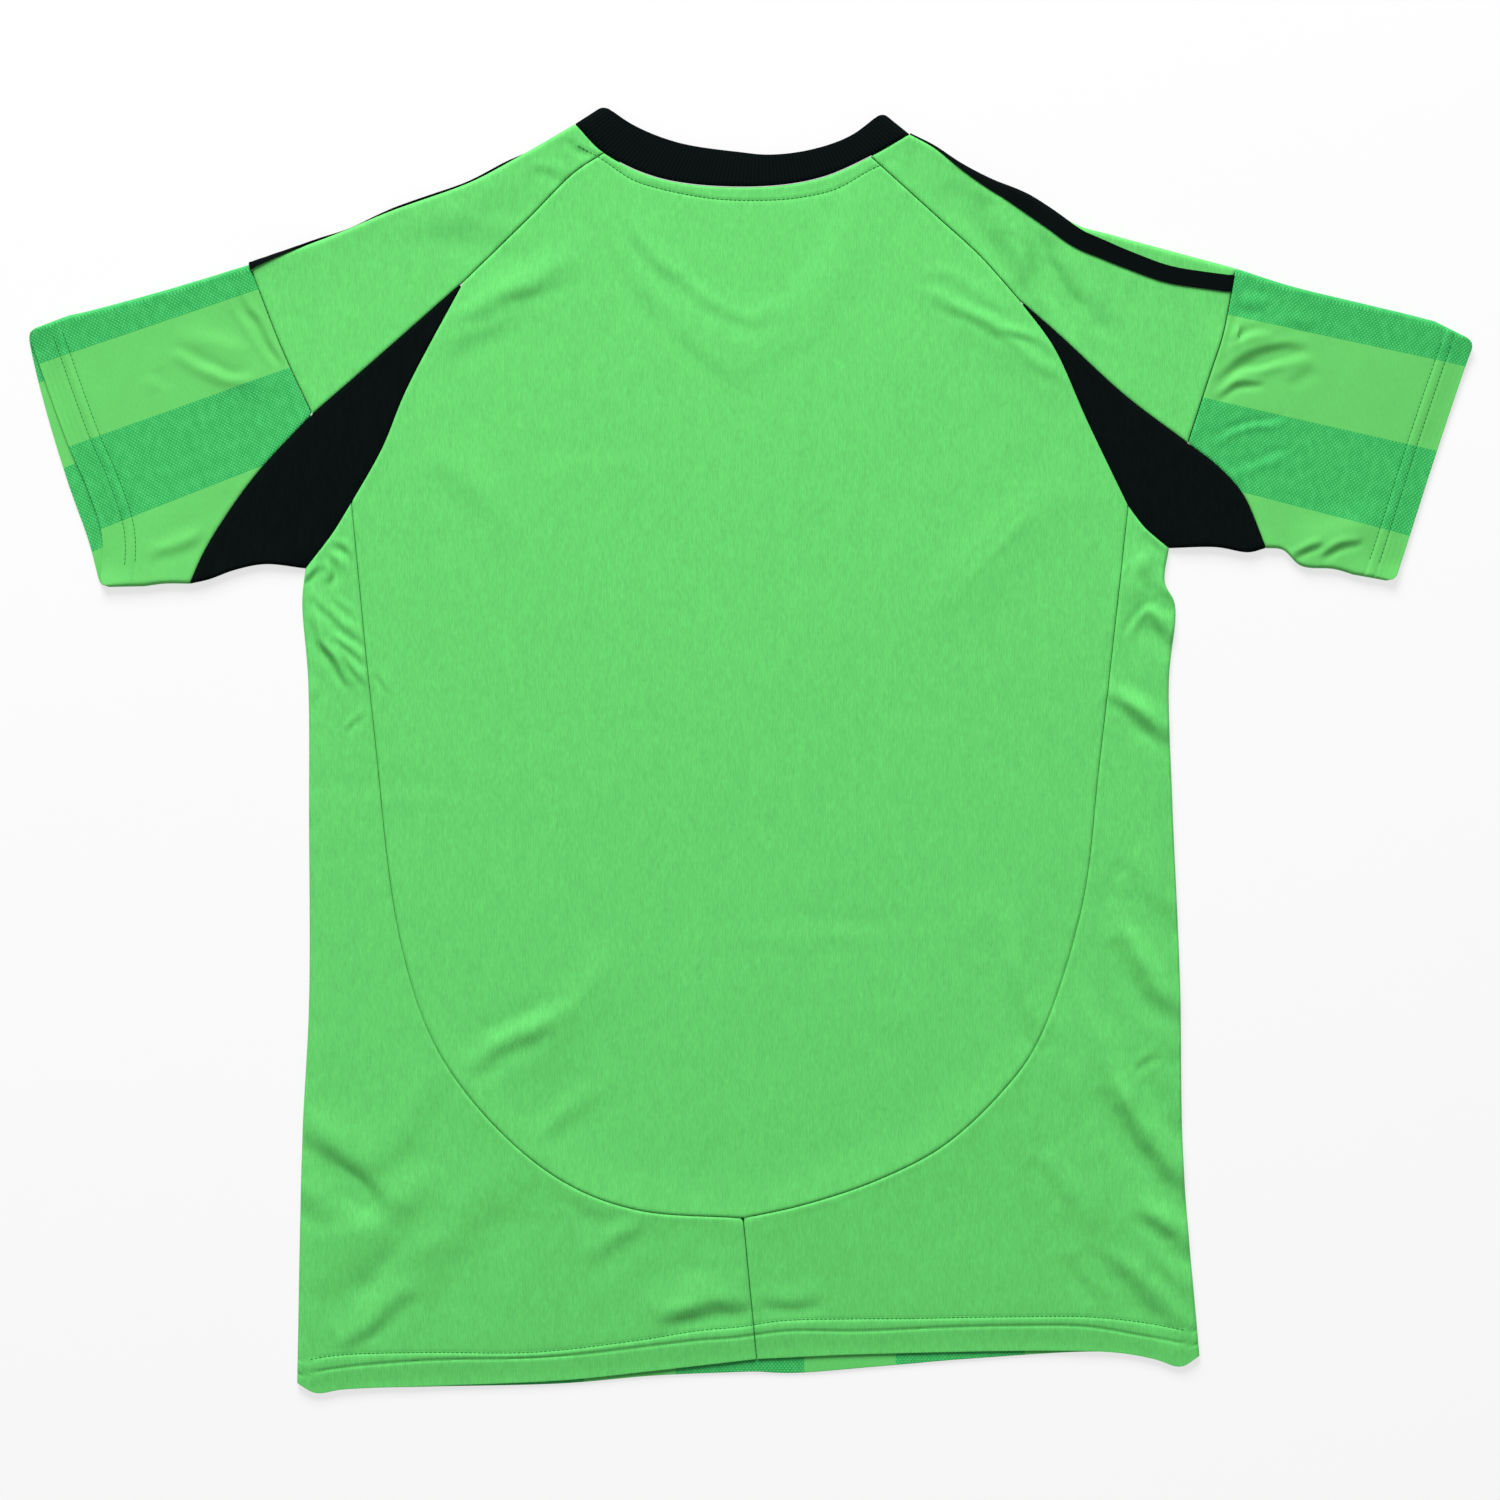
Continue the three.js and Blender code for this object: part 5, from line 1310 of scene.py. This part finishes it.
def shoulder_grid(side):
    """Outer points of a shoulder panel, in rows from the back raglan seam over the fold to the front
    one, and which point of a row is on the middle of the fold."""
    c = CURVES[side]
    marks, neck = BACK_NECK_RUN.marks, BACK_NECK_RUN
    if side == "left":
        neck_side = neck.part(marks[1], 0)
    else:
        neck_side = neck.part(marks[-2], neck.length)
    back = chain(c["raglan"], c["gusset_shoulder"])
    front = chain(c["front_raglan"], c["gusset_shoulder"])
    fold = c["shoulder_fold"]
    front_neck = c["front_neck"].part(0, c["front_neck"].marks[1])
    pitch, width, above_pitch, below_pitch = SHOULDER_MESH
    count = steps(fold.length, pitch)
    lines = SHORT_PLAN_LINES
    above = patch(neck_side, c["sleeve_seam"], back, fold, count, SEAM_ROWS, SEAM_ROWS, lines)
    below = patch(front_neck, c["sleeve_seam"].back(), fold, front, count, UNDER_ROWS, UNDER_ROWS, lines)
    edge = above[:, -1]
    above = relaid(above, steps(width, above_pitch), SEAM_ROWS, SHOULDER_FOLD_ROWS)
    below = relaid(below, steps(width, below_pitch), [FOLD_CLEAR], UNDER_SHOULDER_ROWS)
    return folded(above, edge, below), above.shape[1] + FOLD_STEPS // 2


class JERSEY_OT_shoulders(bpy.types.Operator):
    """Shoulder panels: from the back raglan seam, over the shoulder fold, to the front raglan seam"""

    bl_idname = "jersey.shoulders"
    bl_label = "Shoulder panels"

    def execute(self, context):
        for side in SIDES:
            points, _ = shoulder_grid(side)
            obj = new_mesh(f"jersey_shoulder_{side}", points, plan_uv(points))
            walled(obj, size("cloth"), size("rim"))
            settle(obj, material("green_knit"), f"shoulder_{side}")
        return {"FINISHED"}


def stripe_place(side, plan):
    """Which stripe of a sleeve a plan point is in, as a number that grows by 1 at each boundary."""
    below = []
    for a, b in STRIPES[side]:
        way = np.subtract(b, a) / math.dist(a, b)
        offset = plan - np.array(a)
        below.append(-(way[0] * offset[..., 1] - way[1] * offset[..., 0]))
    one, two, three = below
    middle = one / np.maximum(one - two, 1e-6)
    lower = two / np.maximum(two - three, 1e-6)
    return np.where(
        one < 0,
        1 + one / STRIPE_WIDTH,
        np.where(two < 0, 1 + middle, np.where(three < 0, 2 + lower, 3 + three / STRIPE_WIDTH)),
    )


class JERSEY_OT_sleeves(bpy.types.Operator):
    """Sleeves: flattened tubes from the shoulder seam and the gusset to the cuff, with their hems"""

    bl_idname = "jersey.sleeves"
    bl_label = "Sleeves"

    def plan(self, side, cuff_name, seam_rows):
        c = CURVES[side]
        head = chain(c["gusset_sleeve"].back(), c["sleeve_seam"])
        cuff = c[cuff_name].back().at(np.linspace(0, c[cuff_name].length, PLAN_LINES))
        under = c["sleeve_under"].part(0, c["sleeve_under"].length - CUFF_ZONE)
        fold = c["sleeve_fold"].part(0, c["sleeve_fold"].length - CUFF_ZONE)
        share = np.linspace(0, 1, len(cuff))[:, None]
        cuff_top = cuff + (under.points[-1] - cuff[0]) * (1 - share) + (fold.points[-1] - cuff[-1]) * share
        count = steps(fold.length, SLEEVE_MESH[0])
        main = patch(head, Run(cuff_top), under, fold, count, seam_rows, PLAIN_EDGE)
        from_end = c[cuff_name].length * np.minimum(share, 1 - share)
        inside = CUFF_CORNER - np.minimum(from_end, CUFF_CORNER)
        cuff = cuff + inward(cuff, cuff_top) * (CUFF_CORNER - np.sqrt(CUFF_CORNER**2 - inside**2))
        down = np.linspace(0, 1, round(CUFF_ZONE / HEM_PITCH) + 1)[1:, None, None]
        return np.concatenate([main, cuff_top * (1 - down) + cuff * down])

    def execute(self, context):
        for side in SIDES:
            rows = self.plan(side, "cuff", SEAM_ROWS)
            under_rows = self.plan(side, "front_cuff", UNDER_ROWS)[:, ::-1]
            first, second = rows[:, 0], rows[:, -1]
            _, width, *pitches = SLEEVE_MESH
            above, below = (
                relaid(lines, steps(width, pitch), SLEEVE_FOLD_ROWS, SLEEVE_FOLD_ROWS)
                for lines, pitch in zip((rows, under_rows), pitches)
            )
            points = ringed(above, below, first, second)
            half = FOLD_STEPS // 2
            at_first, at_second = stripe_place(side, first)[:, None], stripe_place(side, second)[:, None]
            turn = np.linspace(0, 1, FOLD_STEPS + 1)[None]
            on_above, on_below = stripe_place(side, above), 2 * at_second - stripe_place(side, below)
            place = np.concatenate(
                [
                    np.repeat(at_first, half + 1, axis=1),
                    on_above,
                    on_above[:, -1:] * (1 - turn) + on_below[:, :1] * turn,
                    on_below,
                    np.repeat(2 * at_second - at_first, half, axis=1),
                    2 * at_second - at_first,
                ],
                axis=1,
            )
            (ax, ay), (bx, by) = STRIPES[side][1]
            way = np.array([bx - ax, by - ay]) / math.hypot(bx - ax, by - ay)
            closed = np.concatenate([points, points[:, :1]], axis=1)
            along = closed[..., :2] @ way
            uv = np.stack([along, place * STRIPE_WIDTH], axis=-1) * MM
            obj = new_mesh(f"jersey_sleeve_{side}", points, uv, True, np.stack([place, along * 0], axis=-1))
            walled(obj, size("cloth"), size("rim"))
            settle(obj, material("striped_sleeve_knit"), f"sleeve_{side}")
        return {"FINISHED"}


class JERSEY_OT_gussets(bpy.types.Operator):
    """Underarm gussets: wedges from a tip on the back, round the underarm, to a tip on the front"""

    bl_idname = "jersey.gussets"
    bl_label = "Underarm gussets"

    def execute(self, context):
        for side in SIDES:
            c = CURVES[side]
            sleeve_edge = chain(c["gusset_shoulder"], c["gusset_sleeve"])
            body_edge = chain(c["gusset_body"], c["gusset_side"])
            sleeve_edge = sleeve_edge.part(GUSSET_TIP, sleeve_edge.length)
            body_edge = body_edge.part(GUSSET_TIP, body_edge.length)
            tip = Run([sleeve_edge.points[0], body_edge.points[0]])
            pitch, length, above_pitch, below_pitch = GUSSET_MESH
            count = steps(sleeve_edge.length, pitch)
            around = tip, c["underarm"], sleeve_edge, body_edge
            plan = patch(*around, count, PLAIN_EDGE, PLAIN_EDGE, SHORT_PLAN_LINES)
            lines, under_lines = (
                relaid(plan, GUSSET_LINES, ends, ends).transpose(1, 0, 2)
                for ends in (GUSSET_ROWS, UNDER_GUSSET_ROWS)
            )
            edge = lines[:, -1]
            above = relaid(lines, steps(length, above_pitch), PLAIN_EDGE, [FOLD_CLEAR])
            below = relaid(under_lines[:, ::-1], steps(length, below_pitch), [FOLD_CLEAR], PLAIN_EDGE)
            points = folded(above, edge, below)
            obj = new_mesh(f"jersey_gusset_{side}", points, plan_uv(points))
            walled(obj, size("cloth"), size("rim"), even=False)
            settle(obj, material("black_knit"), f"gusset_{side}")
        return {"FINISHED"}


def shortened(rows, cut):
    """The same rows, each cut shorter at both ends by its own length."""
    out = []
    for row, length in zip(rows, cut):
        run = Run(row)
        out.append(run.at(np.linspace(length, run.length - length, len(row))))
    return np.array(out)


class JERSEY_OT_collar(bpy.types.Operator):
    """Collar: one rib band along the back neck, over each shoulder fold and down to the point of the V"""

    bl_idname = "jersey.collar"
    bl_label = "Collar"

    def execute(self, context):
        left, right = (CURVES[side] for side in SIDES)
        share = np.linspace(0, 1, COLLAR_LINES["back"])
        seam = BACK_NECK_RUN.at(share * BACK_NECK_RUN.length)
        free = COLLAR_TOP_RUN.at(share * COLLAR_TOP_RUN.length)
        front_seam = chain(right["front_neck"], left["front_neck"].back())
        front_free = chain(right["front_collar"], left["front_collar"].back())
        share = np.linspace(0, 1, COLLAR_LINES["front"])
        under_seam, under_free = (r.at(share * r.length) for r in (front_seam, front_free))
        across = stations(1, COLLAR_ROWS, COLLAR_SEAM_ROWS, COLLAR_EDGE_ROWS)[:, None, None]
        rows = seam * (1 - across) + free * across
        under = under_seam * (1 - across) + under_free * across
        from_free = COLLAR_CORNER - COLLAR_DEPTH * (1 - across[:, 0, 0])
        cut = COLLAR_CORNER - np.sqrt(COLLAR_CORNER**2 - np.clip(from_free, 0, None) ** 2)
        rows, under = shortened(rows, cut), shortened(under, cut)
        above = relaid(rows, COLLAR_ROUND["back"], COLLAR_FOLD_ROWS, COLLAR_FOLD_ROWS)
        below = relaid(under, COLLAR_ROUND["front"], COLLAR_FOLD_ROWS, COLLAR_FOLD_ROWS)
        points = ringed(above, below, rows[:, 0], rows[:, -1], COLLAR_RISE)
        crown = COLLAR_CROWN * (1 - (2 * across[:, 0, 0] - 1) ** 4)
        top = FOLD_STEPS // 2 + 1
        points[:, top : top + above.shape[1], 2] += crown[:, None]
        closed = np.concatenate([points, points[:, :1]], axis=1)
        middle = closed[len(closed) // 2]
        along = np.concatenate([[0], np.cumsum(np.linalg.norm(np.diff(middle, axis=0), axis=1))])
        width = COLLAR_DEPTH * across[:, 0, 0]
        uv = np.stack(np.broadcast_arrays(along[None, :], width[:, None]), axis=-1) * MM
        obj = new_mesh("jersey_collar", points, uv, True)
        walled(obj, size("collar_cloth"), COLLAR_RIM)
        settle(obj, material("black_rib"), "collar")
        return {"FINISHED"}


def tape_edges(side, count):
    """Distances of a tape's two edges from the middle of the fold, on each of count rows, without corners."""
    shares, *edges = np.array(TAPE[side], float).T
    rows = np.array([np.interp(np.linspace(0, 1, count), shares, edge) for edge in edges])
    for _ in range(TAPE_EASE):
        rows[:, 1:-1] = (rows[:, :-2] + 2 * rows[:, 1:-1] + rows[:, 2:]) / 4
    return rows


class JERSEY_OT_tapes(bpy.types.Operator):
    """Shoulder tapes: one plain woven strip laid along each shoulder panel"""

    bl_idname = "jersey.tapes"
    bl_label = "Shoulder tapes"

    def execute(self, context):
        for side in SIDES:
            grid, centre = shoulder_grid(side)
            down, across = np.gradient(grid, axis=0), np.gradient(grid, axis=1)
            out = np.cross(down, across)
            out /= np.linalg.norm(out, axis=2, keepdims=True)
            out *= np.sign(out[:, :1, 2:])
            edges = tape_edges(side, len(grid))
            lift = size("tape_gap") + size("tape_cloth")
            rows = []
            for k, (row, normal) in enumerate(zip(grid, out)):
                along = np.concatenate([[0], np.cumsum(np.linalg.norm(np.diff(row, axis=0), axis=1))])
                places = along[centre] - np.linspace(edges[1, k], edges[0, k], TAPE_LINES)
                at = np.stack([np.interp(places, along, row[:, d]) for d in range(3)], axis=1)
                way = np.stack([np.interp(places, along, normal[:, d]) for d in range(3)], axis=1)
                rows.append(at + way / np.linalg.norm(way, axis=1, keepdims=True) * lift)
            points = np.array(rows)
            length = Run(points[:, TAPE_LINES // 2, :2]).along
            width = np.linspace(0, 10, TAPE_LINES)
            uv = np.stack(np.broadcast_arrays(length[:, None], width[None, :]), axis=-1) * MM
            obj = new_mesh(f"jersey_tape_{side}", points, uv)
            walled(obj, size("tape_cloth"), size("rim"))
            settle(obj, material("black_tape"), f"tape_{side}")
        return {"FINISHED"}


STITCH_SIDES = 6
# Rings of each stitch: share of its length, and share of its thickness
STITCH_RINGS = ((0.0, 0.35), (0.12, 0.85), (0.5, 1.0), (0.88, 0.85), (1.0, 0.35))
STITCH_SINK, STITCH_DIP = 0.05, 0.35  # how deep it lies, and how much deeper its ends are, in thicknesses
STITCH_LENGTHS = {"hem": 2.1, "centre": 1.7, "neck": 2.2, "cuff": 2.1}
STITCH_ENDS = {"hem": (8, 6), "neck": (6, 6), "cuff": (7, 7)}  # how far a line stays from its ends
CENTRE_STITCHES = (20, 1)  # where the centre seam's stitches start and end, from the bottom edge
STITCH_SMOOTH_ANGLE = 60


def stitches(name, lines):
    """One piece of separate stitches along plan lines. Each lies on the cloth and dips in at both ends."""
    pitch, thick = size("stitch_pitch"), size("thread")
    vertices, faces = [], []
    for line, length in lines:
        count = int(line.length / pitch)
        starts = (np.arange(count) + 0.5 * (line.length / pitch - count)) * pitch
        places = starts[:, None] + np.array([s for s, _ in STITCH_RINGS])[None] * length
        plan = line.at(places)
        z = upper_height(plan.reshape(-1, 2)).reshape(plan.shape[:2])
        for row, heights in zip(plan, z):
            way = row[-1] - row[0]
            way /= max(np.linalg.norm(way), 1e-6)
            side = np.array([-way[1], way[0], 0])
            first = len(vertices)
            for (x, y), base, (share, part) in zip(row, heights, STITCH_RINGS):
                dip = STITCH_SINK + STITCH_DIP * (2 * share - 1) ** 2
                centre = np.array([x, y, base + thick * 0.5 - dip * thick])
                for k in range(STITCH_SIDES):
                    a = 2 * math.pi * k / STITCH_SIDES
                    r = thick * 0.5 * part
                    vertices.append(centre + side * (math.cos(a) * r) + np.array([0, 0, math.sin(a) * r]))
            end = first + (len(STITCH_RINGS) - 1) * STITCH_SIDES
            for ring in range(first, end, STITCH_SIDES):
                for k in range(STITCH_SIDES):
                    a, b = ring + k, ring + (k + 1) % STITCH_SIDES
                    faces.append((a, a + STITCH_SIDES, b + STITCH_SIDES, b))
            faces.append(tuple(range(first, first + STITCH_SIDES)))
            faces.append(tuple(range(end + STITCH_SIDES - 1, end - 1, -1)))
    mesh = bpy.data.meshes.new(name)
    mesh.from_pydata([tuple(v * MM) for v in vertices], [], faces)
    obj = bpy.data.objects.new(name, mesh)
    bpy.context.scene.collection.objects.link(obj)
    make_active(obj)
    bpy.ops.object.mode_set(mode="EDIT")
    bpy.ops.mesh.select_all(action="SELECT")
    bpy.ops.mesh.normals_make_consistent(inside=False)
    bpy.ops.object.mode_set(mode="OBJECT")
    bpy.ops.object.shade_smooth_by_angle(angle=math.radians(STITCH_SMOOTH_ANGLE))
    settle(obj, material("green_thread"), None)


def stitch_line(run, kind):
    """A run without its ends, with the length of its stitches."""
    first, last = STITCH_ENDS[kind]
    return run.part(first, run.length - last), STITCH_LENGTHS[kind]


def beside(run, distance):
    """A run moved sideways, to its left where distance is positive."""
    way = np.gradient(run.points, axis=0)
    way /= np.linalg.norm(way, axis=1, keepdims=True)
    return Run(run.points + np.stack([-way[:, 1], way[:, 0]], axis=1) * distance)


class JERSEY_OT_stitching(bpy.types.Operator):
    """Stitch lines of the bottom hem, the cuffs and the back neck"""

    bl_idname = "jersey.stitching"
    bl_label = "Stitching"

    def execute(self, context):
        start, end = (CENTRE_RUN.length - distance for distance in CENTRE_STITCHES)
        centre = CENTRE_RUN.part(start, end), STITCH_LENGTHS["centre"]
        stitches("jersey_hem_stitches", [stitch_line(HEM_STITCH_RUN, "hem"), centre])
        stitches("jersey_neck_stitches", [stitch_line(NECK_STITCH_RUN, "neck")])
        for side in SIDES:
            cuff = CURVES[side]["cuff"]
            turn = -1 if side == "right" else 1
            first, last = STITCH_ENDS["cuff"]
            runs = [beside(cuff, turn * d).part(first, cuff.length - last) for d in CUFF_STITCHES[side]]
            lines = [(run, STITCH_LENGTHS["cuff"]) for run in runs]
            stitches(f"jersey_cuff_stitches_{side}", lines)
        return {"FINISHED"}


TABLE_SIZE = 30
TABLE_DROP = 0.0006  # how far the table's face lies below the cloth, so that they do not coincide
CAMERA_HEIGHT = 3.0
PICTURE_WIDTH = 0.885  # metres across the picture at the table
SENSOR = 36
KEY_LIGHT = {"at": (-0.7, 3.9, 2.6), "size": 2.5}


class JERSEY_OT_stage(bpy.types.Operator):
    """Pale table, soft light and the camera, which looks straight down"""

    bl_idname = "jersey.stage"
    bl_label = "Stage"

    def execute(self, context):
        bpy.ops.object.select_all(action="DESELECT")
        bpy.ops.mesh.primitive_plane_add(size=TABLE_SIZE, location=(0, 0, -TABLE_DROP))
        table = context.active_object
        table.name = "table"
        table.data.materials.append(material("table_paper"))
        light = context.scene.jersey_light
        bpy.ops.object.light_add(type="AREA", location=KEY_LIGHT["at"])
        key = context.active_object
        key.name = "key_light"
        key.data.size = KEY_LIGHT["size"]
        key.data.energy = light.key
        key.rotation_euler = (-Vector(KEY_LIGHT["at"])).to_track_quat("-Z", "Y").to_euler()
        world = bpy.data.worlds.new("even_light")
        world.use_nodes = True
        sky = world.node_tree.nodes["Background"]
        sky.inputs["Color"].default_value = (1, 1, 1, 1)
        sky.inputs["Strength"].default_value = light.fill
        context.scene.world = world
        bpy.ops.object.camera_add(location=(0, 0, CAMERA_HEIGHT), rotation=(0, 0, 0))
        camera = context.active_object
        camera.name = "camera"
        camera.data.sensor_width = SENSOR
        camera.data.lens = SENSOR * CAMERA_HEIGHT / PICTURE_WIDTH
        context.scene.camera = camera
        context.scene.view_settings.view_transform = "Standard"
        return {"FINISHED"}


OPERATORS = (
    JERSEY_OT_front,
    JERSEY_OT_collar,
    JERSEY_OT_back,
    JERSEY_OT_lower_back,
    JERSEY_OT_shoulders,
    JERSEY_OT_gussets,
    JERSEY_OT_sleeves,
    JERSEY_OT_tapes,
    JERSEY_OT_stitching,
    JERSEY_OT_stage,
)


class JERSEY_PT_panel(bpy.types.Panel):
    """Lists the jersey's pieces, sizes, colours and light"""

    bl_idname = "JERSEY_PT_panel"
    bl_label = "Jersey"
    bl_space_type = "VIEW_3D"
    bl_region_type = "UI"
    bl_category = "Jersey"

    def draw(self, context):
        scene = context.scene
        for group in (scene.jersey_sizes, scene.jersey_colours, scene.jersey_light):
            box = self.layout.box()
            for name in group.bl_rna.properties.keys():
                if name not in ("rna_type", "name"):
                    box.prop(group, name)
        for operator in OPERATORS:
            self.layout.operator(operator.bl_idname)


GROUPS = {"jersey_sizes": JerseySizes, "jersey_colours": JerseyColours, "jersey_light": JerseyLight}


def register():
    for group in GROUPS.values():
        bpy.utils.register_class(group)
    for name, group in GROUPS.items():
        setattr(bpy.types.Scene, name, PointerProperty(type=group))
    for operator in OPERATORS:
        bpy.utils.register_class(operator)
    bpy.utils.register_class(JERSEY_PT_panel)


def unregister():
    bpy.utils.unregister_class(JERSEY_PT_panel)
    for operator in reversed(OPERATORS):
        bpy.utils.unregister_class(operator)
    for name, group in GROUPS.items():
        delattr(bpy.types.Scene, name)
        bpy.utils.unregister_class(group)


def main():
    register()
    bpy.ops.object.select_all(action="DESELECT")
    for operator in OPERATORS:
        group, name = operator.bl_idname.split(".")
        getattr(getattr(bpy.ops, group), name)()
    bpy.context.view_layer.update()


if __name__ == "__main__":
    main()
